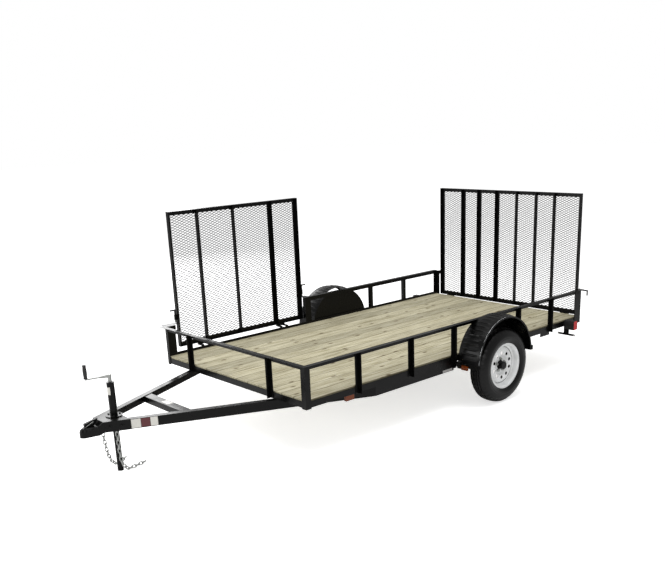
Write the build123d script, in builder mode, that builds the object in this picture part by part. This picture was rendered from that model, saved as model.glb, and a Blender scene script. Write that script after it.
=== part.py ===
"""Single-axle utility trailer with a rear ramp gate and a side ramp gate.

Millimetres. X points forward to the coupler, Y to the trailer's left, Z up from the ground.
The origin is on the ground, midway between the coupler's nose and the closed rear gate.
"""

import os
from math import cos, radians, sin, tan

from build123d import *

os.makedirs("parts", exist_ok=True)

# Running clearances
swing_gap = 5.0  # between a gate and what it swings past
pin_gap = 0.05  # round a pin or spindle, on the radius
knuckle_gap = 1.0  # between neighbouring hinge knuckles, along the pin
slide_gap = 0.8  # round the jack's leg, on the radius

# Bed frame: steel angle round a plank deck
bed_length = 3670.0
bed_width = 1941.0
frame_bottom_z = 434.0
frame_leg = 51.0
frame_flange = 76.0
frame_steel = 5.0
frame_top_z = frame_bottom_z + frame_leg
half_bed = bed_width / 2

deck_top_z = 497.0
deck_thickness = 38.0
board_count = 13
board_gap = 4.0
cross_member_count = 6
cross_member_width = 51.0

# Rails and uprights of light angle
rail_top_z = 772.0
light_leg = 38.0
light_steel = 4.0
rail_under_z = rail_top_z - light_steel
post_drop = 7.0  # how far posts reach below the frame
post_bottom_z = frame_bottom_z - post_drop
post_steel = 5.0
corner_leg = 51.0
wide_post_front = 102.0
wide_post_rear = 76.0
rear_post_leg = 102.0  # the left rear corner post's leg along the bed
side_upright_left = (525.0, 1127.0, 1672.0, 2597.0, 3124.0)  # behind the bed's front
side_upright_right = (2597.0, 3124.0)
front_upright_y = 557.0

# Gates: angle rims with expanded metal on the outer face
gate_depth = 38.0
gate_leg = 38.0
gate_steel = 4.0
mesh_thickness = 2.0
mesh_inset = 6.0
mesh_pitch = (152.0, 121.0)  # from one diamond to the next, along the gate and up it
mesh_open = 0.86  # share of a diamond's pitch that is open
rear_gate_inset = 54.5  # from the bed's side in to the rear gate's edge
rear_gate_height = 1219.0
rear_bars = (121.0, 367.0, 590.0)  # from the gate's middle, both ways
side_gate_length = 1475.0
side_gate_height = 1228.0
side_gate_front = 161.0  # behind the bed's front
side_bars = (317.0, 714.0, 1138.0)  # behind the gate's front edge
side_gate_bottom_z = 546.0

hinge_drop = 14.0  # from a gate's bottom edge down to its hinge pin
hinge_barrel_r = 9.0
hinge_pin_r = 6.0
hinge_inset = 19.0  # from a gate's inner face out to its hinge pin
hinge_arm = 9.0
gate_knuckle = 40.0
frame_knuckle = 30.0
rear_hinge_y = 773.0
side_hinges = (250.0, 1190.0)  # behind the gate's front edge

latch_pin_r = 7.0
latch_pin_length = 115.0
latch_pin_back = 20.0  # behind the rear gate's inner face
latch_pin_drop = 17.0  # below the rail's top
latch_handle = 50.0
latch_ear_step = 20.0  # outward from the rear gate's edge
latch_ear_steel = 6.0
latch_ear_width = 34.0
latch_ear_height = 40.0
catch_width = 54.0
catch_length = 70.0
drop_pin_gap = 8.0
drop_pin_reach = 16.0
drop_pin_length = 120.0
drop_guide_r = 11.0
drop_guide_z = 800.0
drop_guide_height = 50.0

# Running gear
axle_back = 2145.0  # behind the bed's front
tyre_r = 338.0
tyre_width = 186.0
tyre_middle_y = 1113.0
rim_r = 190.0
rim_flange_r = 207.0
rim_width = 152.0
rim_steel = 4.0
tyre_wall = 12.0
tyre_bead_gap = 4.0  # from the rim's flange out to where the sidewall starts
tyre_profile = (  # share of the half width, share of the height from rim to tread
    (0.95, 0.28), (1.0, 0.43), (0.95, 0.62), (0.81, 0.81), (0.61, 0.94), (0.40, 1.0),
)
axle_tube_r = 30.0
axle_tube_half = 940.0
spindle_r = 17.5
spindle_end_y = 1150.0
spindle_end_gap = 2.0  # between the spindle's end and the hub cap
hub_face_y = 1124.0
hub_flange_r = 70.0
hub_flange_thickness = 12.0
hub_barrel_r = 38.0
hub_back_y = 1055.0
hub_cap_y = 1176.0
hub_cap_r = 34.0
disc_hole_r = 42.0
disc_rise = 20.0  # from the disc's seat on the hub out to its raised ring
disc_seat_r = 78.0
disc_ring_r = 94.0
vent_circle_r = 114.0
vent_count = 10
vent_r = 13.0
stud_circle = 114.3
stud_count = 5
nut_r = 11.0
nut_length = 18.0
stud_gap = 0.3  # round a stud in the wheel's disc, on the radius

spring_y = 905.0
spring_width = 44.0
spring_half = 400.0
leaf_thickness = 7.0
spring_leaves = (1.0, 0.69, 0.4)  # shares of the top leaf's length, from the top down
eye_r = 16.0
eye_pin_r = 7.0
hanger_steel = 6.0
hanger_width = 50.0
hanger_gap = 1.0  # between a spring's edge and its hanger's ears
hanger_bolt_end = 8.0
clamp_plate = 110.0
clamp_thickness = 9.0
clamp_rod_r = 6.0

# Fenders
fender_back = 2122.0
fender_z = 415.0
fender_edge_r = 379.0
fender_crown_r = 387.0
fender_frame_gap = 5.5  # outside the frame
fender_rail_gap = 5.0  # round the top rail's flange
fender_outer_y = 1213.0
fender_steel = 3.0
fender_lip = 14.0
fender_bead_r = 6.0  # the rolled outer edge
fender_tail_angle = 1.0
fender_foot = 14.0  # how far the angle across the rear end reaches behind it
fender_foot_rise = 36.0
bracket_length = 40.0
bracket_reach = 320.0  # from the fender's middle, both ways

# Tongue and coupler
tongue_half_angle = 25.0
tongue_apex = 1354.0  # ahead of the bed's front, where the outer faces would meet
tongue_end_gap = 16.0  # behind the coupler's neck
tongue_leg = 76.0
tongue_flange = 51.0
tongue_wrap_back = 1690.0
brace_back = 578.0
brace_width = 76.0
brace_leg = 51.0

coupler_neck = 1196.0  # ahead of the bed's front; the rest of the coupler is placed from it
nose_reach = 155.0  # from the neck ahead to the nose's tip
nose_r = 42.0
nose_dome = 22.0
nose_top_z = 408.0
nose_bottom_z = 340.0
socket_r = 26.0
socket_roof = 14.0
coupler_steel = 6.0
coupler_cover = 177.0  # from the neck back to the rear edge of the coupler's shell
saddle_reach = 30.0  # from the neck ahead to the flat that the latch lies on
neck_round = 8.0

latch_width = 20.0
latch_seat_gap = 0.2
latch_back = ((22, 14), (5, -20), (115, 1))  # ahead of the neck, below the shell's top
latch_seat = (112, 42)  # front and rear ends of the seat, ahead of the neck

jack_setback = 131.0  # behind the coupler's neck
jack_tube_r = 28.5
jack_wall = 5.0
jack_bottom_z = 325.0
jack_top_z = 685.0
jack_cap = 20.0
jack_leg_wall = 3.0
jack_leg_length = 430.0
jack_flange_r = 62.0
jack_flange_thickness = 7.0
crank_neck_r = 14.0
crank_neck_height = 57.0
crank_arm_rise = 46.0  # from the cap's top to the middle of the arm
crank_length = 172.0
crank_swing = -12.0
crank_rod_r = 6.0
grip_spindle_r = 5.0
grip_r = 12.5
grip_length = 105.0

link_length = 48.0
link_width = 32.0
link_wire = 8.0
link_corner = 9.0
link_overlap = 1.5  # how far neighbouring links press into each other
link_roll = 45.0  # the links lie turned to either side
chain_gap = 0.2  # below the coupler
chain_ground = 14.5  # height of a lying chain's middle

# Lamps and plate bracket
tail_lamp_back = 3390.0
tail_lamp_width = 112.0
tail_lamp_height = 89.0
tail_lamp_depth = 25.0
tail_lens_depth = 35.0
tail_lens_wrap = 38.0  # the lens's end, outward of the housing
tail_lamp_z = 410.0
marker_length = 86.0
marker_height = 42.0
marker_depth = 24.0
marker_back = 405.0
fender_marker_inset = 57.0  # from the fender's back plate
fender_marker_width = 66.0
fender_marker_height = 36.0
fender_marker_depth = 18.0
fender_marker_drop = 18.0  # below the fender's front end
plate_bar_length = 198.0
plate_bar_height = 20.0
plate_hole_r = 3.5
plate_hole_spacing = 178.0
plate_bar_z = 331.0
plate_strap_width = 58.0
plate_strap_middle = 7.5  # from the bed's side in to the strap's middle
plate_strap_gap = 2.0  # behind the tail lamp
rail_plate_run = (2993.0, 3142.0)  # behind the bed's front
rail_plate_drop = 36.0

# Where the bed stands on X, from the coupler's nose and the closed rear gate
gate_face = post_steel + swing_gap
rear_reach = bed_length + gate_face + gate_depth + mesh_thickness
nose_x = coupler_neck + nose_reach
bed_front = (rear_reach - nose_x) / 2
bed_rear = bed_front - bed_length
axle_x = bed_front - axle_back
fender_x = bed_front - fender_back
bed_front_inner = bed_front - frame_steel
half_bed_inner = half_bed - frame_steel
rail_edge = half_bed + light_leg
rear_gate_width = bed_width - 2 * rear_gate_inset
fender_inner_y = half_bed + fender_frame_gap
tongue_tan = tan(radians(tongue_half_angle))
tongue_cos = cos(radians(tongue_half_angle))


def block(x_pair, y_pair, z_pair, mode=Mode.ADD):
    """A box between two values on each axis, in either order."""
    size = [abs(pair[1] - pair[0]) for pair in (x_pair, y_pair, z_pair)]
    middle = [sum(pair) / 2 for pair in (x_pair, y_pair, z_pair)]
    with Locations(tuple(middle)):
        Box(*size, mode=mode)


def rod(start, direction, radius, length, mode=Mode.ADD):
    """A round bar from a point, along a direction."""
    with BuildSketch(Plane(origin=start, z_dir=direction), mode=Mode.PRIVATE) as section:
        Circle(radius)
    extrude(section.sketch, amount=length, mode=mode)


def angle_bar(start, across, up, wide, tall, steel, length):
    """Angle iron from a corner point: one leg across, one leg up, run along across x up."""
    run = Vector(across).cross(Vector(up))
    with BuildSketch(Plane(origin=start, x_dir=across, z_dir=run), mode=Mode.PRIVATE) as section:
        with BuildLine():
            Polyline(
                (0, 0), (wide, 0), (wide, steel), (steel, steel), (steel, tall), (0, tall), close=True
            )
        make_face()
    extrude(section.sketch, amount=length)


def finish(part, name):
    """Label a piece and write its STEP file."""
    part.label = name
    export_step(part, f"parts/{name}.step")


def both_sides(part, left_name, right_name):
    """Write a left-hand piece and its mirror image."""
    finish(mirror(part, about=Plane.XZ), right_name)
    finish(part, left_name)


# Frame rails: flange inward at the bottom, upright leg outward
with BuildPart() as side_rail:
    angle_bar(
        (bed_front, half_bed, frame_bottom_z), (0, -1, 0), (0, 0, 1),
        frame_flange, frame_leg, frame_steel, bed_length,
    )
both_sides(side_rail.part, "side_rail_left", "side_rail_right")

with BuildPart() as front_rail:
    angle_bar(
        (bed_front, -half_bed_inner, frame_bottom_z), (-1, 0, 0), (0, 0, 1),
        frame_flange, frame_leg, frame_steel, 2 * half_bed_inner,
    )
    for side in (-1, 1):
        block(
            (bed_front, bed_front - frame_flange),
            (side * half_bed_inner, side * (half_bed - frame_flange)),
            (frame_bottom_z, frame_bottom_z + frame_steel),
            mode=Mode.SUBTRACT,
        )
finish(front_rail.part, "front_rail")
rear_rail = mirror(front_rail.part, about=Plane.YZ.offset((bed_front + bed_rear) / 2))
finish(rear_rail, "rear_rail")

# Cross members lie on the side rails' flanges and carry the deck
with BuildPart() as cross_members:
    deck_under_z = deck_top_z - deck_thickness
    pitch = (bed_length - 2 * frame_flange) / (cross_member_count + 1)
    for index in range(cross_member_count):
        angle_bar(
            (bed_front - frame_flange - pitch * (index + 1), half_bed_inner, deck_under_z),
            (-1, 0, 0), (0, 0, -1),
            cross_member_width, deck_under_z - frame_bottom_z - frame_steel, frame_steel,
            2 * half_bed_inner,
        )
finish(cross_members.part, "cross_members")

with BuildPart() as deck_boards:
    board_pitch = (2 * half_bed_inner - board_gap) / board_count
    for index in range(board_count):
        board_edge = -half_bed_inner + board_gap + board_pitch * index
        block(
            (bed_rear + frame_steel + board_gap, bed_front_inner - board_gap),
            (board_edge, board_edge + board_pitch - board_gap),
            (deck_under_z, deck_top_z),
        )
finish(deck_boards.part, "deck_boards")

# Top rails: upright leg inside, flange outward over the uprights
rail_leg_y = half_bed - light_steel
rail_flange = light_leg + light_steel
rail_front = bed_front - light_steel
gate_opening_rear = side_gate_front + side_gate_length + swing_gap
with BuildPart() as top_rail_left:
    angle_bar(
        (rail_front, rail_leg_y, rail_top_z), (0, 1, 0), (0, 0, -1),
        rail_flange, light_leg, light_steel, bed_length - light_steel,
    )
finish(top_rail_left.part, "top_rail_left")

rail_right_runs = (  # front end, rear end, both behind the bed's front
    (light_steel, wide_post_front),
    (gate_opening_rear, bed_length),
)
with BuildPart() as top_rail_right:
    for run_front, run_rear in rail_right_runs:
        angle_bar(
            (bed_front - run_rear, -rail_leg_y, rail_top_z), (0, -1, 0), (0, 0, -1),
            rail_flange, light_leg, light_steel, run_rear - run_front,
        )
finish(top_rail_right.part, "top_rail_right")

with BuildPart() as top_rail_front:
    angle_bar(
        (rail_front, -rail_edge, rail_top_z), (1, 0, 0), (0, 0, -1),
        rail_flange, light_leg, light_steel, 2 * rail_edge,
    )
    for side in (-1, 1):
        block(
            (rail_front, bed_front), (side * half_bed, side * rail_edge),
            (rail_under_z, rail_top_z - light_leg), mode=Mode.SUBTRACT,
        )
finish(top_rail_front.part, "top_rail_front")

# Corner posts wrap the frame's corners; the gate post stands behind the side gate
post_height = rail_under_z - post_bottom_z
corner_table = (  # end of the bed, its outward direction, side, leg along X, leg along Y
    (bed_front, 1, 1, corner_leg, corner_leg),
    (bed_front, 1, -1, wide_post_front, light_leg),
    (bed_rear, -1, 1, rear_post_leg, corner_leg),
    (bed_rear, -1, -1, corner_leg, corner_leg),
)
with BuildPart() as corner_posts:
    for end_x, outward, side, leg_x, leg_y in corner_table:
        outer_x = end_x + outward * post_steel
        outer_y = side * (half_bed + post_steel)
        block(
            (outer_x, end_x - outward * (leg_x - post_steel)), (side * half_bed, outer_y),
            (post_bottom_z, rail_under_z),
        )
        block(
            (outer_x, end_x), (outer_y - side * leg_y, outer_y),
            (post_bottom_z, rail_under_z),
        )
finish(corner_posts.part, "corner_posts")

with BuildPart() as gate_post:
    gate_post_x = bed_front - gate_opening_rear
    block(
        (gate_post_x, gate_post_x - wide_post_rear), (-half_bed, -half_bed - light_steel),
        (post_bottom_z, rail_under_z),
    )
    block(
        (gate_post_x, gate_post_x - light_steel), (-half_bed, -rail_edge),
        (post_bottom_z, rail_under_z),
    )
finish(gate_post.part, "gate_post")

# Uprights: flat leg on the frame, the other leg outward, all turned the same way
with BuildPart() as uprights_left:
    for back in side_upright_left:
        rear_edge = bed_front - back - light_leg / 2
        block((rear_edge, rear_edge + light_leg), (half_bed, half_bed + light_steel),
              (post_bottom_z, rail_under_z))
        block((rear_edge, rear_edge + light_steel), (half_bed, rail_edge),
              (post_bottom_z, rail_under_z))
finish(uprights_left.part, "uprights_left")

with BuildPart() as uprights_right:
    for back in side_upright_right:
        front_edge = bed_front - back + light_leg / 2
        block((front_edge, front_edge - light_leg), (-half_bed, -half_bed - light_steel),
              (post_bottom_z, rail_under_z))
        block((front_edge, front_edge - light_steel), (-half_bed, -rail_edge),
              (post_bottom_z, rail_under_z))
finish(uprights_right.part, "uprights_right")

with BuildPart() as uprights_front:
    for side in (-1, 1):
        right_edge = side * front_upright_y - light_leg / 2
        block((bed_front, bed_front + light_steel), (right_edge, right_edge + light_leg),
              (frame_bottom_z, rail_under_z))
        block((bed_front, bed_front + light_leg), (right_edge, right_edge + light_steel),
              (frame_bottom_z, rail_under_z))
finish(uprights_front.part, "uprights_front")

# Tongue members: each runs back from the coupler, bends and goes on under its side rail
bend_x = bed_front + tongue_apex - half_bed / tongue_tan
tongue_end = coupler_neck - tongue_end_gap
tongue_end_y = (tongue_apex - tongue_end) * tongue_tan
with BuildPart() as tongue:
    with BuildLine() as tongue_path:
        Polyline(
            (bed_front - tongue_wrap_back, half_bed, frame_bottom_z),
            (bend_x, half_bed, frame_bottom_z),
            (bed_front + tongue_end, tongue_end_y, frame_bottom_z),
        )
    tongue_start = Plane(
        origin=(bed_front - tongue_wrap_back, half_bed, frame_bottom_z),
        x_dir=(0, -1, 0), z_dir=(1, 0, 0),
    )
    with BuildSketch(tongue_start) as tongue_section:
        with BuildLine():
            Polyline(
                (0, 0), (tongue_flange, 0), (tongue_flange, frame_steel),
                (frame_steel, frame_steel), (frame_steel, tongue_leg), (0, tongue_leg),
                close=True,
            )
        make_face()
    sweep(tongue_section.sketch, path=tongue_path.wires()[0], transition=Transition.RIGHT)
both_sides(tongue.part, "tongue_left", "tongue_right")


def tongue_inner_y(ahead):
    """Half the space between the tongue's upright legs, at a distance ahead of the bed."""
    return (tongue_apex - ahead) * tongue_tan - frame_steel / tongue_cos


# Cross brace under the tongue's flanges
with BuildPart() as tongue_brace:
    brace_front = brace_back + brace_width
    brace_top_z = frame_bottom_z - frame_steel
    back_y = tongue_inner_y(brace_back)
    front_y = tongue_inner_y(brace_front)
    leg_back_y = tongue_inner_y(brace_front - frame_steel)
    with BuildSketch(Plane.XY.offset(brace_top_z - frame_steel)):
        with BuildLine():
            Polyline(
                (bed_front + brace_back, back_y), (bed_front + brace_front, front_y),
                (bed_front + brace_front, -front_y), (bed_front + brace_back, -back_y), close=True,
            )
        make_face()
    extrude(amount=frame_steel)
    with BuildSketch(Plane.XY.offset(brace_top_z - brace_leg)):
        with BuildLine():
            Polyline(
                (bed_front + brace_front - frame_steel, leg_back_y),
                (bed_front + brace_front, front_y), (bed_front + brace_front, -front_y),
                (bed_front + brace_front - frame_steel, -leg_back_y), close=True,
            )
        make_face()
    extrude(amount=brace_leg - frame_steel)
finish(tongue_brace.part, "tongue_brace")

# Coupler: a wedge-shaped shell over the tongue's tip, with the ball socket in its nose
coupler_top_z = frame_bottom_z + coupler_steel
coupler_back = coupler_neck - coupler_cover
jack_x = coupler_neck - jack_setback
wall_shift = coupler_steel / tongue_cos
coupler_back_y = (tongue_apex - coupler_back) * tongue_tan + wall_shift
neck_y = (tongue_apex - coupler_neck) * tongue_tan + wall_shift
nose_centre_x = bed_front + nose_x - nose_r
shell_round = ((0, 1), (0.3, 0.3), (1, 0))  # across and down, in shares of the edge's rounding
shell_sections = (  # ahead of the neck, half width, bottom, top, rounding of the top edges
    (0, neck_y, frame_bottom_z - tongue_leg, coupler_top_z, neck_round),
    (saddle_reach, (neck_y + nose_r) / 2, nose_bottom_z, nose_top_z, neck_round),
    (nose_reach - nose_r, nose_r, nose_bottom_z, nose_top_z, nose_dome),
)
with BuildPart() as coupler:
    with BuildSketch(Plane.XY.offset(frame_bottom_z)):
        with BuildLine():
            Polyline(
                (bed_front + coupler_back, coupler_back_y), (bed_front + coupler_neck, neck_y),
                (bed_front + coupler_neck, -neck_y), (bed_front + coupler_back, -coupler_back_y),
                close=True,
            )
        make_face()
        with Locations((bed_front + jack_x, 0)):
            Circle(jack_tube_r, mode=Mode.SUBTRACT)
    extrude(amount=coupler_steel)
    for side in (-1, 1):
        with BuildSketch(Plane.XY.offset(frame_bottom_z - tongue_leg)):
            with BuildLine():
                Polyline(
                    (bed_front + coupler_back, side * coupler_back_y),
                    (bed_front + coupler_neck, side * neck_y),
                    (bed_front + coupler_neck, side * (neck_y - wall_shift)),
                    (bed_front + coupler_back, side * (coupler_back_y - wall_shift)),
                    close=True,
                )
            make_face()
        extrude(amount=tongue_leg)
    neck_plane = Plane(origin=(bed_front + coupler_neck, 0, 0), x_dir=(0, 1, 0), z_dir=(1, 0, 0))
    for ahead, half_width, bottom, top, round_top in shell_sections:
        with BuildSketch(neck_plane.offset(ahead)):
            with BuildLine():
                shoulder = [
                    (half_width - across * round_top, top - down * round_top)
                    for across, down in shell_round
                ]
                Polyline(
                    (-half_width, bottom), (half_width, bottom), *shoulder,
                    *((-y, z) for y, z in reversed(shoulder)), close=True,
                )
            make_face()
    loft(ruled=True)
    with BuildSketch(Plane.XZ) as nose_half:
        with BuildLine():
            Polyline(
                (nose_centre_x, nose_top_z), (nose_centre_x, nose_bottom_z),
                (nose_centre_x + nose_r, nose_bottom_z),
                *(
                    (nose_centre_x + nose_r - across * nose_dome, nose_top_z - down * nose_dome)
                    for across, down in shell_round
                ),
                close=True,
            )
        make_face()
    revolve(nose_half.sketch, axis=Axis((nose_centre_x, 0, 0), (0, 0, 1)))
    socket_depth = nose_top_z - nose_bottom_z - socket_roof
    with BuildSketch(Plane.XY.offset(nose_bottom_z)):
        with Locations((nose_centre_x, 0)):
            Circle(socket_r)
    extrude(amount=socket_depth, mode=Mode.SUBTRACT)
finish(coupler.part, "coupler")

# Latch lever on the flat behind the coupler's nose
latch_under = coupler_top_z - nose_top_z - latch_seat_gap
with BuildPart() as coupler_latch:
    latch_plane = Plane(
        origin=(bed_front + coupler_neck, -latch_width / 2, coupler_top_z),
        x_dir=(1, 0, 0), z_dir=(0, 1, 0),
    )
    with BuildSketch(latch_plane):
        with BuildLine():
            Polyline(*latch_back, *((ahead, latch_under) for ahead in latch_seat), close=True)
        make_face()
    extrude(amount=latch_width)
finish(coupler_latch.part, "coupler_latch")

# Jack: outer tube bolted to the coupler, sliding leg, and a crank on top
jack_point = (bed_front + jack_x, 0)
leg_r = jack_tube_r - jack_wall - slide_gap
with BuildPart() as jack_tube:
    with BuildSketch(Plane.XY.offset(jack_bottom_z)):
        with Locations(jack_point):
            Circle(jack_tube_r)
            Circle(jack_tube_r - jack_wall, mode=Mode.SUBTRACT)
    extrude(amount=jack_top_z - jack_bottom_z)
    with BuildSketch(Plane.XY.offset(jack_top_z)):
        with Locations(jack_point):
            Circle(jack_tube_r)
    extrude(amount=jack_cap)
    with BuildSketch(Plane.XY.offset(coupler_top_z)):
        with Locations(jack_point):
            Circle(jack_flange_r)
            Circle(jack_tube_r - jack_wall, mode=Mode.SUBTRACT)
    extrude(amount=jack_flange_thickness)
finish(jack_tube.part, "jack_tube")

with BuildPart() as jack_leg:
    with BuildSketch(Plane.XY):
        with Locations(jack_point):
            Circle(leg_r)
            Circle(leg_r - jack_leg_wall, mode=Mode.SUBTRACT)
    extrude(amount=jack_leg_length)
finish(jack_leg.part, "jack_leg")

crank_z = jack_top_z + jack_cap
crank_arm_z = crank_z + crank_arm_rise
crank_end = (
    jack_point[0] + crank_length * cos(radians(crank_swing)),
    crank_length * sin(radians(crank_swing)),
)
with BuildPart() as jack_crank:
    rod((*jack_point, crank_z), (0, 0, 1), crank_neck_r, crank_neck_height)
    rod(
        (*jack_point, crank_arm_z),
        (cos(radians(crank_swing)), sin(radians(crank_swing)), 0),
        crank_rod_r, crank_length + crank_rod_r,
    )
    rod((*crank_end, crank_arm_z), (0, 0, 1), grip_spindle_r, grip_length)
finish(jack_crank.part, "jack_crank")

with BuildPart() as crank_grip:
    grip_z = crank_arm_z + crank_rod_r
    rod((*crank_end, grip_z), (0, 0, 1), grip_r, grip_length)
    rod((*crank_end, grip_z), (0, 0, 1), grip_spindle_r + pin_gap,
        grip_length - crank_rod_r, mode=Mode.SUBTRACT)
finish(crank_grip.part, "crank_grip")

# Safety chains: welded links from the coupler's underside down to the ground
link_pitch = link_length - 2 * link_wire + link_overlap
chain_top_z = frame_bottom_z - chain_gap - link_length / 2 + link_pitch / 2
chain_routes = {  # ahead of the coupler's neck, to the left, up
    "chain_left": (
        (-111, 52, chain_top_z), (-111, 52, 380), (-112, 54, 200), (-120, 56, 75),
        (-160, 54, chain_ground), (-250, 40, chain_ground), (-345, 16, chain_ground),
    ),
    "chain_right": (
        (-31, -18, chain_top_z), (-31, -18, 380), (-40, -26, 260), (-60, -42, 150),
        (-96, -66, 65), (-150, -95, chain_ground), (-290, -190, chain_ground),
    ),
}


def along_route(route, distance):
    """The point at a distance along straight runs between points."""
    for start, end in zip(route, route[1:]):
        run = end - start
        if distance <= run.length:
            return start + run.normalized() * distance
        distance -= run.length
    return route[-1]


def chain_link(middle, direction, roll):
    """One link as a flat ring of square wire, turned about the chain's own line."""
    level = Vector(0, 1, 0) - direction * direction.Y
    facing = level.normalized().rotate(Axis((0, 0, 0), tuple(direction)), roll)
    half_length, half_width = link_length / 2, link_width / 2
    with BuildSketch(Plane(origin=middle, x_dir=direction, z_dir=facing), mode=Mode.PRIVATE) as ring:
        with BuildLine():
            Polyline(
                (half_length, half_width - link_corner), (half_length - link_corner, half_width),
                (link_corner - half_length, half_width), (-half_length, half_width - link_corner),
                (-half_length, link_corner - half_width), (link_corner - half_length, -half_width),
                (half_length - link_corner, -half_width), (half_length, link_corner - half_width),
                close=True,
            )
        make_face()
        Rectangle(link_length - 2 * link_wire, link_width - 2 * link_wire, mode=Mode.SUBTRACT)
    extrude(ring.sketch, amount=link_wire / 2, both=True)


for chain_name, route_table in chain_routes.items():
    chain_route = [Vector(bed_front + coupler_neck + ahead, y, z) for ahead, y, z in route_table]
    route_length = sum((end - start).length for start, end in zip(chain_route, chain_route[1:]))
    with BuildPart() as chain:
        for index in range(int(route_length / link_pitch)):
            link_start = along_route(chain_route, link_pitch * index)
            link_end = along_route(chain_route, link_pitch * (index + 1))
            link_turn = link_roll if index % 2 else -link_roll
            link_middle = (link_start + link_end) * 0.5
            chain_link(link_middle, (link_end - link_start).normalized(), link_turn)
    finish(chain.part, chain_name)

# Axle: a round tube with a stub spindle at each end
with BuildPart() as axle:
    rod((axle_x, -axle_tube_half, tyre_r), (0, 1, 0), axle_tube_r, 2 * axle_tube_half)
    rod((axle_x, -spindle_end_y, tyre_r), (0, 1, 0), spindle_r, 2 * spindle_end_y)
finish(axle.part, "axle")

# The plane holds Y as its X and the radius from the axle as its Y
left_axle_plane = Plane(origin=(axle_x, 0, tyre_r), x_dir=(0, 1, 0), z_dir=(1, 0, 0))
left_axle_line = Axis((axle_x, 0, tyre_r), (0, 1, 0))

bearing_r = spindle_r + pin_gap
bore_end_y = spindle_end_y + spindle_end_gap
with BuildPart() as hub:
    with BuildSketch(left_axle_plane):
        with BuildLine():
            Polyline(
                (hub_back_y, bearing_r), (hub_back_y, hub_barrel_r),
                (hub_face_y - hub_flange_thickness, hub_barrel_r),
                (hub_face_y - hub_flange_thickness, hub_flange_r),
                (hub_face_y, hub_flange_r), (hub_face_y, hub_barrel_r),
                (hub_cap_y, hub_cap_r), (hub_cap_y, 0),
                (bore_end_y, 0), (bore_end_y, bearing_r), close=True,
            )
        make_face()
    revolve(axis=left_axle_line)
    disc_front_y = hub_face_y + rim_steel
    with BuildSketch(Plane.XZ.offset(-hub_face_y)):
        with Locations((axle_x, tyre_r)):
            with PolarLocations(stud_circle / 2, stud_count, start_angle=90):
                Circle(nut_r / 2)
    extrude(amount=-(nut_length + rim_steel))
    with BuildSketch(Plane.XZ.offset(-disc_front_y)):
        with Locations((axle_x, tyre_r)):
            with PolarLocations(stud_circle / 2, stud_count, start_angle=90):
                RegularPolygon(nut_r, 6)
    extrude(amount=-nut_length)
both_sides(hub.part, "hub_left", "hub_right")

rim_inner = rim_r - rim_steel
rim_half = rim_width / 2
ring_y = hub_face_y + disc_rise
with BuildPart() as rim:
    with BuildSketch(left_axle_plane):
        with BuildLine():
            Polyline(
                (tyre_middle_y - rim_half, rim_inner), (tyre_middle_y + rim_half, rim_inner),
                (tyre_middle_y + rim_half, rim_flange_r),
                (tyre_middle_y + rim_half - rim_steel, rim_flange_r),
                (tyre_middle_y + rim_half - rim_steel, rim_r),
                (tyre_middle_y - rim_half + rim_steel, rim_r),
                (tyre_middle_y - rim_half + rim_steel, rim_flange_r),
                (tyre_middle_y - rim_half, rim_flange_r), close=True,
            )
        make_face()
        with BuildLine():
            Polyline(
                (hub_face_y, disc_hole_r), (hub_face_y, disc_seat_r), (ring_y, disc_ring_r),
                (ring_y, rim_inner), (ring_y + rim_steel, rim_inner),
                (ring_y + rim_steel, disc_ring_r - rim_steel / 2),
                (disc_front_y, disc_seat_r - rim_steel / 2), (disc_front_y, disc_hole_r),
                close=True,
            )
        make_face()
    revolve(axis=left_axle_line)
    with BuildSketch(Plane.XZ.offset(-hub_face_y)):
        with Locations((axle_x, tyre_r)):
            with PolarLocations(stud_circle / 2, stud_count, start_angle=90):
                Circle(nut_r / 2 + stud_gap)
            with PolarLocations(vent_circle_r, vent_count):
                Circle(vent_r)
    extrude(amount=-(disc_rise + rim_steel), mode=Mode.SUBTRACT)
both_sides(rim.part, "rim_left", "rim_right")

bead_half = rim_half - rim_steel
tyre_outline = [(bead_half, rim_r), (bead_half, rim_flange_r + tyre_bead_gap)]
tyre_lining = [(bead_half - tyre_wall, rim_r)]
for width_share, height_share in tyre_profile:
    across = width_share * tyre_width / 2
    out = rim_r + height_share * (tyre_r - rim_r)
    tyre_outline.append((across, out))
    tyre_lining.append((across - tyre_wall, out - tyre_wall * height_share))
with BuildPart() as tyre:
    with BuildSketch(left_axle_plane):
        with BuildLine():
            Polyline(
                *((tyre_middle_y - across, out) for across, out in tyre_outline),
                *((tyre_middle_y + across, out) for across, out in reversed(tyre_outline)),
                *((tyre_middle_y + across, out) for across, out in tyre_lining),
                *((tyre_middle_y - across, out) for across, out in reversed(tyre_lining)),
                close=True,
            )
        make_face()
    revolve(axis=left_axle_line)
both_sides(tyre.part, "tyre_left", "tyre_right")

# Leaf springs: stacked leaves with an eye at each end of the top leaf
axle_top_z = tyre_r + axle_tube_r
spring_top_z = axle_top_z + leaf_thickness * len(spring_leaves)
eye_z = spring_top_z - eye_r
with BuildPart() as spring:
    for index, leaf_share in enumerate(spring_leaves):
        half_length = leaf_share * spring_half
        leaf_top = spring_top_z - leaf_thickness * index
        block(
            (axle_x - half_length, axle_x + half_length),
            (spring_y - spring_width / 2, spring_y + spring_width / 2),
            (leaf_top - leaf_thickness, leaf_top),
        )
    for end in (-1, 1):
        eye_x = axle_x + end * spring_half
        rod((eye_x, spring_y - spring_width / 2, eye_z), (0, 1, 0), eye_r, spring_width)
    for end in (-1, 1):
        eye_x = axle_x + end * spring_half
        rod((eye_x, spring_y - spring_width / 2, eye_z), (0, 1, 0), eye_pin_r + pin_gap,
            spring_width, mode=Mode.SUBTRACT)
both_sides(spring.part, "spring_left", "spring_right")

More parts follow.
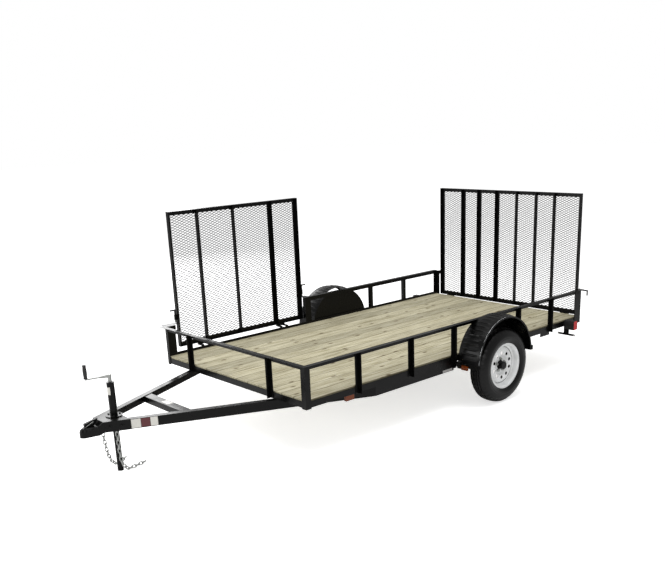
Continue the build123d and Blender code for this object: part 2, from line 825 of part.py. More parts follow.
# Hangers hold the spring eyes' bolts below the side rails
ear_inner = spring_width / 2 + hanger_gap
with BuildPart() as spring_hangers:
    for side in (-1, 1):
        for end in (-1, 1):
            eye_x = axle_x + end * spring_half
            for ear in (-1, 1):
                ear_start = side * spring_y + ear * ear_inner
                block(
                    (eye_x - hanger_width / 2, eye_x + hanger_width / 2),
                    (ear_start, ear_start + ear * hanger_steel),
                    (eye_z - eye_r, frame_bottom_z),
                )
            bolt_half = ear_inner + hanger_steel + hanger_bolt_end
            rod((eye_x, side * spring_y - bolt_half, eye_z), (0, 1, 0), eye_pin_r, 2 * bolt_half)
finish(spring_hangers.part, "spring_hangers")

# Axle clamps: a plate under the axle and four rods up past the spring
clamp_reach = axle_tube_r + clamp_rod_r
with BuildPart() as axle_clamps:
    for side in (-1, 1):
        for plate_z in (tyre_r - axle_tube_r - clamp_thickness, spring_top_z):
            block(
                (axle_x - clamp_plate / 2, axle_x + clamp_plate / 2),
                (side * spring_y - spring_width, side * spring_y + spring_width),
                (plate_z, plate_z + clamp_thickness),
            )
        for step_x in (-1, 1):
            for step_y in (-1, 1):
                rod(
                    (
                        axle_x + step_x * clamp_reach,
                        side * spring_y + step_y * (spring_width / 2 + clamp_rod_r),
                        tyre_r - axle_tube_r - clamp_thickness,
                    ),
                    (0, 0, 1), clamp_rod_r,
                    spring_top_z - tyre_r + axle_tube_r + 2 * clamp_thickness,
                )
finish(axle_clamps.part, "axle_clamps")

# Fenders: a crowned arch with a rolled outer lip, and a back plate beside the frame
fender_middle_y = (fender_inner_y + fender_outer_y) / 2
lip_r = fender_edge_r - fender_lip
lip_y = fender_outer_y - fender_steel
tail_rise = radians(fender_tail_angle)
fender_end_z = fender_z + lip_r * sin(tail_rise)
foot_x = fender_x - fender_crown_r - fender_foot
fender_marker_x = fender_x + fender_crown_r
fender_marker_top_z = fender_end_z - fender_marker_drop
fender_marker_run = (
    fender_inner_y + fender_marker_inset,
    fender_inner_y + fender_marker_inset + fender_marker_width,
)
arch_start = Plane(
    origin=(fender_x, 0, fender_z), x_dir=(0, 1, 0), z_dir=(sin(tail_rise), 0, -cos(tail_rise)),
)
with BuildPart() as fender:
    with BuildSketch(arch_start):
        with BuildLine():
            ThreePointArc(
                (fender_inner_y, fender_edge_r), (fender_middle_y, fender_crown_r),
                (fender_outer_y, fender_edge_r),
            )
            Polyline(
                (fender_outer_y, fender_edge_r), (fender_outer_y, lip_r), (lip_y, lip_r),
                (lip_y, fender_edge_r - fender_steel),
            )
            ThreePointArc(
                (lip_y, fender_edge_r - fender_steel),
                (fender_middle_y, fender_crown_r - fender_steel),
                (fender_inner_y, fender_edge_r - fender_steel),
            )
            Line((fender_inner_y, fender_edge_r - fender_steel), (fender_inner_y, fender_edge_r))
        make_face()
        with Locations((fender_outer_y - fender_bead_r, fender_edge_r - fender_bead_r)):
            Circle(fender_bead_r)
    revolve(
        axis=Axis((fender_x, 0, fender_z), (0, -1, 0)), revolution_arc=180 - 2 * fender_tail_angle
    )
    with BuildSketch(Plane.XZ.offset(-fender_inner_y)):
        with Locations((fender_x, fender_z)):
            Circle(fender_edge_r)
        with Locations((fender_x, frame_bottom_z - fender_edge_r)):
            Rectangle(2 * fender_crown_r, 2 * fender_edge_r, mode=Mode.SUBTRACT)
    extrude(amount=-fender_steel)
    # The inner edge is notched round the top rail
    block(
        (fender_x - fender_crown_r, fender_x + fender_crown_r),
        (half_bed, rail_edge + fender_rail_gap),
        (rail_top_z - light_steel - fender_rail_gap, fender_z + fender_crown_r),
        mode=Mode.SUBTRACT,
    )
    # An angle across the rear end and a flap for the marker below the front end
    block(
        (fender_x - lip_r, foot_x), (fender_inner_y, fender_outer_y),
        (fender_end_z - fender_steel, fender_end_z + fender_steel),
    )
    block(
        (foot_x, foot_x + fender_steel), (fender_inner_y, fender_outer_y),
        (fender_end_z - fender_steel, fender_end_z + fender_foot_rise),
    )
    block(
        (fender_marker_x - fender_steel, fender_marker_x), (fender_inner_y, fender_middle_y),
        (fender_marker_top_z - fender_marker_height, fender_end_z + fender_steel),
    )
both_sides(fender.part, "fender_left", "fender_right")

# Short brackets carry the fenders' back plates off the frame
with BuildPart() as fender_brackets:
    for side in (-1, 1):
        for bracket_x in (fender_x - bracket_reach, fender_x + bracket_reach):
            block(
                (bracket_x - bracket_length / 2, bracket_x + bracket_length / 2),
                (side * half_bed, side * fender_inner_y),
                (frame_bottom_z, frame_top_z),
            )
finish(fender_brackets.part, "fender_brackets")

# Gates are drawn flat, then stood up: X along the hinge, Y up the gate, Z out from the bed


def ramp_gate(place, length, height, bars, knuckles):
    """Angle rim, upright bars turned away from the gate's middle, and hinge knuckles."""
    inner = gate_depth - gate_steel
    with BuildPart(mode=Mode.PRIVATE) as gate:
        with BuildSketch(Plane.XY):
            Rectangle(length, height, align=(Align.CENTER, Align.MIN))
            with Locations((0, gate_steel)):
                Rectangle(
                    length - 2 * gate_steel, height - 2 * gate_steel,
                    align=(Align.CENTER, Align.MIN), mode=Mode.SUBTRACT,
                )
        extrude(amount=gate_depth)
        with BuildSketch(Plane.XY.offset(inner)):
            Rectangle(length, height, align=(Align.CENTER, Align.MIN))
            with Locations((0, gate_leg)):
                Rectangle(
                    length - 2 * gate_leg, height - 2 * gate_leg,
                    align=(Align.CENTER, Align.MIN), mode=Mode.SUBTRACT,
                )
        extrude(amount=gate_steel)
        for bar in bars:
            turn = 1 if bar > 0 else -1
            outer_edge = bar + turn * gate_leg / 2
            block((outer_edge, outer_edge - turn * gate_leg), (gate_steel, height - gate_steel),
                  (inner, gate_depth))
            block((outer_edge, outer_edge - turn * gate_steel), (gate_steel, height - gate_steel),
                  (0, inner))
        for knuckle in knuckles:
            ends = (knuckle - gate_knuckle / 2, knuckle + gate_knuckle / 2)
            block(ends, (-hinge_drop, gate_steel),
                  (hinge_inset - hinge_arm / 2, hinge_inset + hinge_arm / 2))
            rod((ends[0], -hinge_drop, hinge_inset), (1, 0, 0), hinge_barrel_r, gate_knuckle)
            rod((ends[0], -hinge_drop, hinge_inset), (1, 0, 0), hinge_pin_r + pin_gap,
                gate_knuckle, mode=Mode.SUBTRACT)
    return place * gate.part


def gate_mesh(place, length, height):
    """Expanded metal on the gate's outer face, in a coarse pattern of diamonds."""
    width = length - 2 * mesh_inset
    rise = height - 2 * mesh_inset
    columns = round(width / mesh_pitch[0])
    rows = round(rise / mesh_pitch[1])
    step_x = width / columns
    step_y = rise / rows
    diamonds = []
    for row in range(1, 2 * rows):
        inset_row = (row + 1) % 2
        for column in range(columns - inset_row):
            diamonds.append((
                step_x * (column + (1 + inset_row) / 2) - width / 2,
                mesh_inset + step_y * row / 2,
            ))
    half_x = mesh_open * step_x / 2
    half_y = mesh_open * step_y / 2
    with BuildPart(mode=Mode.PRIVATE) as mesh:
        with BuildSketch(Plane.XY.offset(gate_depth)):
            with Locations((0, mesh_inset)):
                Rectangle(width, rise, align=(Align.CENTER, Align.MIN))
            with Locations(*diamonds):
                Polygon((half_x, 0), (0, half_y), (-half_x, 0), (0, -half_y), mode=Mode.SUBTRACT)
        extrude(amount=mesh_thickness)
    return place * mesh.part


def frame_hinges(place, knuckles, arm_back):
    """Pairs of fixed knuckles with their pins, on arms from the frame."""
    with BuildPart(mode=Mode.PRIVATE) as hinges:
        for knuckle in knuckles:
            for turn in (-1, 1):
                near = knuckle + turn * (gate_knuckle / 2 + knuckle_gap)
                far = near + turn * frame_knuckle
                block((near, far), (-hinge_drop - hinge_barrel_r, -hinge_drop),
                      (arm_back, hinge_inset))
                rod((near, -hinge_drop, hinge_inset), (turn, 0, 0), hinge_barrel_r, frame_knuckle)
            pin_half = gate_knuckle / 2 + knuckle_gap + frame_knuckle
            rod((knuckle - pin_half, -hinge_drop, hinge_inset), (1, 0, 0), hinge_pin_r,
                2 * pin_half)
    return place * hinges.part


rear_gate_bottom_z = deck_top_z
rear_gate_x = bed_rear - gate_face
rear_place = Plane(
    origin=(rear_gate_x, 0, rear_gate_bottom_z), x_dir=(0, -1, 0), z_dir=(-1, 0, 0)
).location
rear_knuckles = (-rear_hinge_y, rear_hinge_y)
rear_bar_places = [side * bar for bar in rear_bars for side in (-1, 1)]
finish(
    ramp_gate(rear_place, rear_gate_width, rear_gate_height, rear_bar_places, rear_knuckles),
    "rear_gate_frame",
)
finish(gate_mesh(rear_place, rear_gate_width, rear_gate_height), "rear_gate_mesh")
finish(frame_hinges(rear_place, rear_knuckles, -gate_face), "rear_gate_hinges")

side_gate_y = -(rail_edge + swing_gap)
side_gate_middle_x = bed_front - side_gate_front - side_gate_length / 2
side_place = Plane(
    origin=(side_gate_middle_x, side_gate_y, side_gate_bottom_z), x_dir=(1, 0, 0),
    z_dir=(0, -1, 0),
).location
side_knuckles = [side_gate_length / 2 - back for back in side_hinges]
side_bar_places = [side_gate_length / 2 - back for back in side_bars]
finish(
    ramp_gate(side_place, side_gate_length, side_gate_height, side_bar_places, side_knuckles),
    "side_gate_frame",
)
finish(gate_mesh(side_place, side_gate_length, side_gate_height), "side_gate_mesh")
side_hinge_arm = side_gate_y + half_bed  # from the gate's inner face back to the frame
with BuildPart() as side_gate_hinges:
    add(frame_hinges(side_place, side_knuckles, side_hinge_arm))
    arm_under_z = side_gate_bottom_z - hinge_drop - hinge_barrel_r
    for knuckle in side_knuckles:
        for turn in (-1, 1):
            near = side_gate_middle_x + knuckle + turn * (gate_knuckle / 2 + knuckle_gap)
            block(
                (near, near + turn * frame_knuckle), (-half_bed, -half_bed - post_steel),
                (frame_bottom_z, arm_under_z),
            )
finish(side_gate_hinges.part, "side_gate_hinges")

latch_pin_x = rear_gate_x - latch_pin_back
latch_pin_z = rail_top_z - latch_pin_drop

# Rear gate latches: a sliding pin with a bent handle, in an ear on each rear post
with BuildPart() as rear_gate_pins:
    for side in (-1, 1):
        ear_y = side * (rear_gate_width / 2 + latch_ear_step)
        pin_tip = side * (rear_gate_width / 2 + swing_gap)
        block((bed_rear - post_steel, bed_rear - post_steel - latch_ear_width),
              (ear_y, ear_y + side * latch_ear_steel), (rail_under_z - latch_ear_height, rail_under_z))
        rod((latch_pin_x, pin_tip, latch_pin_z), (0, side, 0), latch_pin_r, latch_pin_length)
        handle_y = pin_tip + side * (latch_pin_length - latch_pin_r)
        rod((latch_pin_x, handle_y, latch_pin_z), (0, 0, -1), latch_pin_r, latch_handle)
finish(rear_gate_pins.part, "rear_gate_pins")

# Side gate latches: catch plates outside the rail, and drop pins on the gate's ends
catch_runs = (  # front and rear edges, behind the bed's front
    (light_steel, side_gate_front - swing_gap),
    (gate_opening_rear, gate_opening_rear + catch_length),
)
with BuildPart() as side_gate_catches:
    for run_front, run_rear in catch_runs:
        block(
            (bed_front - run_front, bed_front - run_rear), (-rail_edge, -rail_edge - catch_width),
            (rail_under_z, rail_top_z),
        )
finish(side_gate_catches.part, "side_gate_catches")

drop_pin_y = side_gate_y - gate_depth / 2
with BuildPart() as side_gate_pins:
    for end_x, turn in (
        (bed_front - side_gate_front, 1),
        (bed_front - side_gate_front - side_gate_length, -1),
    ):
        pin_x = end_x + turn * drop_pin_reach
        rod((pin_x, drop_pin_y, rail_top_z + drop_pin_gap), (0, 0, 1), latch_pin_r, drop_pin_length)
        block(
            (end_x, pin_x), (drop_pin_y - latch_pin_r, drop_pin_y + latch_pin_r),
            (drop_guide_z, drop_guide_z + drop_guide_height),
        )
        rod((pin_x, drop_pin_y, drop_guide_z), (0, 0, 1), drop_guide_r, drop_guide_height)
        rod(
            (pin_x, drop_pin_y, rail_top_z + drop_pin_gap + drop_pin_length - latch_pin_r),
            (turn, 0, 0), latch_pin_r, latch_handle,
        )
finish(side_gate_pins.part, "side_gate_pins")

# Tail lamps: a housing outside the frame behind each fender, red lens behind and round its end
tail_lamp_x = bed_front - tail_lamp_back
tail_lens_x = tail_lamp_x - tail_lamp_depth
tail_lamp_rear = tail_lens_x - tail_lens_depth
tail_lamp_inner = half_bed + post_steel
tail_lens_y = tail_lamp_inner + tail_lamp_width - tail_lens_wrap
with BuildPart() as tail_lamps:
    for side in (-1, 1):
        block(
            (tail_lamp_x, tail_lens_x), (side * tail_lamp_inner, side * tail_lens_y),
            (tail_lamp_z, tail_lamp_z + tail_lamp_height),
        )
        block(
            (tail_lamp_x, tail_lens_x), (side * half_bed, side * tail_lamp_inner),
            (frame_bottom_z, frame_top_z),
        )
finish(tail_lamps.part, "tail_lamps")
with BuildPart() as tail_lenses:
    for side in (-1, 1):
        block(
            (tail_lens_x, tail_lamp_rear),
            (side * tail_lamp_inner, side * (tail_lamp_inner + tail_lamp_width)),
            (tail_lamp_z, tail_lamp_z + tail_lamp_height),
        )
        block(
            (tail_lamp_x, tail_lens_x),
            (side * tail_lens_y, side * (tail_lamp_inner + tail_lamp_width)),
            (tail_lamp_z, tail_lamp_z + tail_lamp_height),
        )
finish(tail_lenses.part, "tail_lenses")

# Amber markers: under the side rails near the front, and on the fenders' front ends
marker_x = bed_front - marker_back
with BuildPart() as marker_lamps:
    for side in (-1, 1):
        block(
            (marker_x, marker_x - marker_length),
            (side * half_bed, side * (half_bed - marker_depth)),
            (frame_bottom_z, frame_bottom_z - marker_height),
        )
        block(
            (fender_marker_x, fender_marker_x + fender_marker_depth),
            [side * y for y in fender_marker_run],
            (fender_marker_top_z - fender_marker_height, fender_marker_top_z),
        )
finish(marker_lamps.part, "marker_lamps")

# Number plate bracket: a strap below the left rail and a bar with two bolt holes
strap_x = tail_lamp_rear - plate_strap_gap
strap_y = half_bed - plate_strap_middle
with BuildPart() as plate_bracket:
    block((strap_x, strap_x - frame_steel), (strap_y - plate_strap_width / 2,
          strap_y + plate_strap_width / 2), (plate_bar_z, frame_bottom_z))
    block((strap_x, strap_x - frame_steel), (strap_y - plate_bar_length / 2,
          strap_y + plate_bar_length / 2), (plate_bar_z, plate_bar_z + plate_bar_height))
    for step in (-1, 1):
        rod((strap_x, strap_y + step * plate_hole_spacing / 2, plate_bar_z + plate_bar_height / 2),
            (-1, 0, 0), plate_hole_r, frame_steel, mode=Mode.SUBTRACT)
finish(plate_bracket.part, "plate_bracket")

# Plates below the side rails, ahead of the tail lamps
with BuildPart() as rail_plates:
    for side in (-1, 1):
        block(
            [bed_front - back for back in rail_plate_run], (side * half_bed, side * half_bed_inner),
            (frame_bottom_z - rail_plate_drop, frame_bottom_z),
        )
finish(rail_plates.part, "rail_plates")
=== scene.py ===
"""Dress for the single-axle utility trailer, put together in the order a trailer shop would."""

from math import atan2, cos, pi, radians, sin

import bmesh
import bpy
from mathutils import Matrix, Vector


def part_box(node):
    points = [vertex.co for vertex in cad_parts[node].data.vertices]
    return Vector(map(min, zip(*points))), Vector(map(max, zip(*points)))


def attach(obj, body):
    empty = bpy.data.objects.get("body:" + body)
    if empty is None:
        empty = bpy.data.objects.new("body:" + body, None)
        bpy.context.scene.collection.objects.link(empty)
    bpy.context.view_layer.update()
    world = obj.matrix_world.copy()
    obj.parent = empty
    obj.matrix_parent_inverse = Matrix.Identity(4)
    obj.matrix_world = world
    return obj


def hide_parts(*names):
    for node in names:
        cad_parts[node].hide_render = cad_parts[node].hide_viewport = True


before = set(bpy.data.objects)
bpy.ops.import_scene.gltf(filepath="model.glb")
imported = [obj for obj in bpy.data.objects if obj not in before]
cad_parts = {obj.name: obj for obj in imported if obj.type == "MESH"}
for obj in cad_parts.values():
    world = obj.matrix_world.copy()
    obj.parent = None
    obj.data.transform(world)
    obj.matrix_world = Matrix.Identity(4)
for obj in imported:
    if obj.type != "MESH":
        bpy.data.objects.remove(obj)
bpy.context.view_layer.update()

# Camera: two and a half metres up and about six metres off the bed's left front corner, with a
# normal lens. The shift only centres the trailer in the frame.
camera_data = bpy.data.cameras.new("camera")
camera_data.sensor_width = 36.0
camera_data.lens = 45.112
camera_data.shift_x = -0.0155
camera_data.shift_y = 0.1505
camera_data.clip_end = 200.0
camera = bpy.data.objects.new("camera", camera_data)
camera.location = (4.9149, 5.5413, 2.4628)
camera.rotation_euler = (radians(72.566), radians(2.069), radians(137.427))
bpy.context.scene.collection.objects.link(camera)
bpy.context.scene.camera = camera
bpy.context.scene.view_settings.view_transform = "Standard"

# Studio: a pale seamless floor and a pale room, lit by a broad soft overhead, a strip box ahead of
# the tongue, a wall of light beyond the trailer and a weak fill. The floor keeps a soft shadow.
floor_size = 60.0
floor_glow = 0.64  # the paper's own light, which only the camera sees
room_light = 0.48  # the room's light on the trailer, where the camera sees 1


def linear(hex_colour):
    """An sRGB hex colour as the linear RGBA that a shader takes."""
    channels = [int(hex_colour[i:i + 2], 16) / 255 for i in (1, 3, 5)]
    return (*(c / 12.92 if c <= 0.04045 else ((c + 0.055) / 1.055) ** 2.4 for c in channels), 1)


def add_node(material, kind, settings=(), inputs=(), links=()):
    """Add a shader node: its settings, its socket values, and links as (socket, node, output)."""
    new = material.node_tree.nodes.new(kind)
    for key, value in dict(settings).items():
        setattr(new, key, value)
    for key, value in dict(inputs).items():
        new.inputs[key].default_value = value
    for socket, source, output in links:
        material.node_tree.links.new(source.outputs[output], new.inputs[socket])
    return new


def link(material, source, output, target, socket):
    """Join one node's output to another's socket."""
    material.node_tree.links.new(source.outputs[output], target.inputs[socket])


def new_material(name):
    """A material with only its output and its Principled shader."""
    material = bpy.data.materials.new(name)
    material.use_nodes = True
    return material, material.node_tree.nodes["Principled BSDF"]


floor_paper, floor_shader = new_material("seamless paper, white, matt")
floor_shader.inputs["Base Color"].default_value = linear("#f6f6f6")
floor_shader.inputs["Roughness"].default_value = 0.9
floor_shader.inputs["Specular IOR Level"].default_value = 0.0
ray = add_node(floor_paper, "ShaderNodeLightPath")
seen = add_node(floor_paper, "ShaderNodeMath", {"operation": "MULTIPLY"}, {1: floor_glow},
                [(0, ray, "Is Camera Ray")])
floor_shader.inputs["Emission Color"].default_value = linear("#ffffff")
link(floor_paper, seen, "Value", floor_shader, "Emission Strength")
floor_mesh = bpy.data.meshes.new("floor")
corners = [(-1, -1), (1, -1), (1, 1), (-1, 1)]
floor_mesh.from_pydata([(x * floor_size, y * floor_size, 0) for x, y in corners], [],
                       [(0, 1, 2, 3)])
floor_mesh.materials.append(floor_paper)
floor = bpy.data.objects.new("floor", floor_mesh)
bpy.context.scene.collection.objects.link(floor)

world = bpy.data.worlds.new("studio air")
world.use_nodes = True
bpy.context.scene.world = world
backdrop = world.node_tree.nodes["Background"]
world_ray = add_node(world, "ShaderNodeLightPath")
direct = add_node(world, "ShaderNodeMath", {"operation": "MAXIMUM"}, (),
                  [(0, world_ray, "Is Camera Ray"), (1, world_ray, "Is Transmission Ray")])
level = add_node(world, "ShaderNodeMapRange", (), {"To Min": room_light, "To Max": 1.0},
                 [("Value", direct, "Value")])
link(world, level, "Result", backdrop, "Strength")
backdrop.inputs["Color"].default_value = linear("#ffffff")

soft_boxes = (  # name, place, aimed at, width, height, watts
    ("overhead", (0.5, 1.0, 6.5), (0, 0, 0.5), 6.0, 4.0, 285),
    ("front strip", (7.0, -3.5, 2.2), (0.5, 0, 0.6), 4.0, 2.4, 190),
    ("far wall", (-1.9, -9.0, 3.8), (1.5, 0, 0.6), 4.6, 4.6, 300),
    ("camera fill", (6.0, 8.0, 4.0), (0, 0, 0.5), 5.0, 3.0, 110),
)
for name, place, aim, width, height, watts in soft_boxes:
    lamp_data = bpy.data.lights.new(name, "AREA")
    lamp_data.shape = "RECTANGLE"
    lamp_data.size = width
    lamp_data.size_y = height
    lamp_data.energy = watts
    lamp = bpy.data.objects.new(name, lamp_data)
    lamp.location = place
    lamp.rotation_euler = (Vector(aim) - Vector(place)).to_track_quat("-Z", "Y").to_euler()
    bpy.context.scene.collection.objects.link(lamp)

# Bed frame, rails, posts, tongue and gate rims: hot-rolled steel angle welded up and sprayed with
# black gloss enamel. A faint orange peel and a satin patchiness.
black_enamel, enamel_shader = new_material("steel angle, sprayed black enamel")
enamel_place = add_node(black_enamel, "ShaderNodeTexCoord")
# drifts of handling marks, about 120 mm across
handling = add_node(black_enamel, "ShaderNodeTexNoise", (), {"Scale": 8.0, "Detail": 5.0},
                    [("Vector", enamel_place, "Object")])
enamel_sheen = add_node(black_enamel, "ShaderNodeMapRange", (),
                        {"From Min": 0.3, "From Max": 0.7, "To Min": 0.22, "To Max": 0.36},
                        [("Value", handling, "Fac")])
link(black_enamel, enamel_sheen, "Result", enamel_shader, "Roughness")
enamel_colour = add_node(black_enamel, "ShaderNodeValToRGB", (), (), [("Fac", handling, "Fac")])
enamel_colour.color_ramp.elements[0].color = linear("#040404")
enamel_colour.color_ramp.elements[1].color = linear("#080808")
link(black_enamel, enamel_colour, "Color", enamel_shader, "Base Color")
# orange peel is about 1 mm across and is drawn at 4 mm, coarse enough to show
peel = add_node(black_enamel, "ShaderNodeTexNoise", (), {"Scale": 250.0, "Detail": 2.0},
                [("Vector", enamel_place, "Object")])
peel_bump = add_node(black_enamel, "ShaderNodeBump", (), {"Strength": 0.12, "Distance": 0.0004},
                     [("Height", peel, "Fac")])
link(black_enamel, peel_bump, "Normal", enamel_shader, "Normal")
enamel_shader.inputs["Specular IOR Level"].default_value = 0.17

enamelled = (
    "side_rail_left", "side_rail_right", "front_rail", "rear_rail", "cross_members",
    "top_rail_left", "top_rail_right", "top_rail_front", "corner_posts", "gate_post",
    "uprights_left", "uprights_right", "uprights_front", "tongue_left", "tongue_right",
    "tongue_brace", "coupler", "coupler_latch", "jack_tube", "axle", "axle_clamps", "spring_left",
    "spring_right", "spring_hangers", "fender_left", "fender_right", "fender_brackets",
    "rear_gate_frame", "rear_gate_hinges", "rear_gate_pins", "side_gate_frame",
    "side_gate_hinges", "side_gate_catches", "side_gate_pins", "plate_bracket", "rail_plates",
    "hub_left", "hub_right", "jack_leg",
)


def paint(node_name, material):
    """Give a CAD node one material."""
    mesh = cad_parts[node_name].data
    mesh.materials.clear()
    mesh.materials.append(material)


for node_name in enamelled:
    paint(node_name, black_enamel)

# Deck: thirteen pressure-treated pine planks laid lengthwise, dry and a little green from the
# treatment, each from its own log, with straight grain, dark knots and weather checks.
treated_pine, pine_shader = new_material("pressure-treated pine, rough-sawn planks")
pine_place = add_node(treated_pine, "ShaderNodeTexCoord")
pine_axes = add_node(treated_pine, "ShaderNodeSeparateXYZ", (), (),
                     [("Vector", pine_place, "Object")])
planks = 13
plank_pitch = 1.927 / planks
plank_first = -0.9635
plank_shift = add_node(treated_pine, "ShaderNodeMath", {"operation": "SUBTRACT"},
                       {1: plank_first}, [(0, pine_axes, "Y")])
plank_count = add_node(treated_pine, "ShaderNodeMath", {"operation": "DIVIDE"},
                       {1: plank_pitch}, [(0, plank_shift, "Value")])
plank_number = add_node(treated_pine, "ShaderNodeMath", {"operation": "FLOOR"}, (),
                        [(0, plank_count, "Value")])
plank_luck = add_node(treated_pine, "ShaderNodeTexWhiteNoise", {"noise_dimensions": "1D"}, (),
                      [("W", plank_number, "Value")])
plank_slide = add_node(treated_pine, "ShaderNodeMath", {"operation": "MULTIPLY"}, {1: 7.0},
                       [(0, plank_luck, "Value")])
log_point = add_node(treated_pine, "ShaderNodeCombineXYZ", (), (), [
    ("X", plank_slide, "Value"), ("Y", plank_slide, "Value"), ("Z", plank_slide, "Value")])
log_place = add_node(treated_pine, "ShaderNodeVectorMath", {"operation": "ADD"}, (), [
    (0, pine_place, "Object"), (1, log_point, "Vector")])
# grain lines about 7 mm apart across the plank and a quarter of a metre long
grain_stretch = add_node(treated_pine, "ShaderNodeMapping", (), {"Scale": (1.6, 60.0, 60.0)},
                         [("Vector", log_place, "Vector")])
grain = add_node(treated_pine, "ShaderNodeTexNoise", (),
                 {"Scale": 2.4, "Detail": 7.0, "Distortion": 0.6},
                 [("Vector", grain_stretch, "Vector")])
pine_colour = add_node(treated_pine, "ShaderNodeValToRGB", (), (), [("Fac", grain, "Fac")])
pine_colour.color_ramp.elements[0].position = 0.36
pine_colour.color_ramp.elements[0].color = linear("#89805f")
pine_colour.color_ramp.elements[1].position = 0.62
pine_colour.color_ramp.elements[1].color = linear("#cac4aa")
plank_tone = add_node(treated_pine, "ShaderNodeMapRange", (), {"To Min": 0.82, "To Max": 1.12},
                      [("Value", plank_luck, "Value")])
pine_toned = add_node(treated_pine, "ShaderNodeVectorMath", {"operation": "SCALE"}, (), [
    (0, pine_colour, "Color"), ("Scale", plank_tone, "Result")])
# knots: ovals about 50 mm long and 25 mm wide, 430 mm apart along a plank on average
knot_stretch = add_node(treated_pine, "ShaderNodeMapping", (), {"Scale": (2.3, 5.2, 1.0)},
                        [("Vector", log_place, "Vector")])
knot_cells = add_node(treated_pine, "ShaderNodeTexVoronoi", {"voronoi_dimensions": "2D"},
                      {"Scale": 1.0}, [("Vector", knot_stretch, "Vector")])
knot = add_node(treated_pine, "ShaderNodeMapRange", (),
                {"From Min": 0.035, "From Max": 0.085, "To Min": 0.9, "To Max": 0.0},
                [("Value", knot_cells, "Distance")])
pine_knotted = add_node(treated_pine, "ShaderNodeMix", {"data_type": "RGBA"},
                        {"B": linear("#54431f")},
                        [("Factor", knot, "Result"), ("A", pine_toned, "Vector")])
# the planks' sawn edges are rounded, and 4 mm to each side of a seam they carry painted shade and
# handling dirt
plank_share = add_node(treated_pine, "ShaderNodeMath", {"operation": "FRACT"}, (),
                       [(0, plank_count, "Value")])
plank_side = add_node(treated_pine, "ShaderNodeMath", {"operation": "SUBTRACT"}, {1: 0.5},
                      [(0, plank_share, "Value")])
plank_off = add_node(treated_pine, "ShaderNodeMath", {"operation": "ABSOLUTE"}, (),
                     [(0, plank_side, "Value")])
seam_shade_and_dirt = add_node(treated_pine, "ShaderNodeMapRange", (),
                      {"From Min": 0.468, "From Max": 0.490, "To Min": 0.0, "To Max": 0.75},
                      [("Value", plank_off, "Value")])
pine_seam_shade_and_dirt = add_node(treated_pine, "ShaderNodeMix", {"data_type": "RGBA"},
                       {"B": linear("#40381f")},
                       [("Factor", seam_shade_and_dirt, "Result"), ("A", pine_knotted, "Result")])
link(treated_pine, pine_seam_shade_and_dirt, "Result", pine_shader, "Base Color")
pine_shader.inputs["Roughness"].default_value = 0.78
pine_bump = add_node(treated_pine, "ShaderNodeBump", (), {"Strength": 0.5, "Distance": 0.001},
                     [("Height", grain, "Fac")])
link(treated_pine, pine_bump, "Normal", pine_shader, "Normal")
paint("deck_boards", treated_pine)

# Gate mesh: raised expanded metal, slit and stretched from one mill-bright sheet into diamonds
# 2 inches long and 15/16 inch high. Every strand is tilted, so the sheet flashes as a fine lattice.


def put(name, verts, faces, material, body, slot, smooth=False):
    """Make a piece from points and faces, in its finish, on its body."""
    mesh = bpy.data.meshes.new(name)
    mesh.from_pydata([tuple(v) for v in verts], [], faces)
    mesh.validate()
    mesh.materials.append(material)
    shape = bmesh.new()
    shape.from_mesh(mesh)
    bmesh.ops.recalc_face_normals(shape, faces=shape.faces)
    shape.to_mesh(mesh)
    shape.free()
    if smooth:
        mesh.shade_smooth()
    piece = bpy.data.objects.new(name, mesh)
    bpy.context.scene.collection.objects.link(piece)
    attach(piece, body)
    return piece


def skin(rings, around, base=0, closed=False):
    """Faces between rings of points that each go all the way round, from the point base on."""
    faces = []
    for ring in range(rings if closed else rings - 1):
        here, there = base + ring * around, base + (ring + 1) % rings * around
        faces += [(here + i, here + (i + 1) % around, there + (i + 1) % around, there + i)
                  for i in range(around)]
    return faces


bright_steel, bright_shader = new_material("expanded steel sheet, mill bright")
bright_place = add_node(bright_steel, "ShaderNodeTexCoord")
# stretching leaves the metal duller in patches about 60 mm across
bright_patches = add_node(bright_steel, "ShaderNodeTexNoise", (), {"Scale": 16.0, "Detail": 4.0},
                          [("Vector", bright_place, "Object")])
bright_colour = add_node(bright_steel, "ShaderNodeValToRGB", (), (),
                         [("Fac", bright_patches, "Fac")])
bright_colour.color_ramp.elements[0].color = linear("#3a3c3e")
bright_colour.color_ramp.elements[1].color = linear("#636668")
link(bright_steel, bright_colour, "Color", bright_shader, "Base Color")
bright_shader.inputs["Metallic"].default_value = 0.4
bright_shader.inputs["Roughness"].default_value = 0.45

diamond_long = 0.0508
diamond_short = 0.0234
strand_width = 0.0053
strand_thick = 0.0014
strand_tilt = radians(35)
strand_sink = 0.0012  # keeps the tilted strands inside the sheet's face


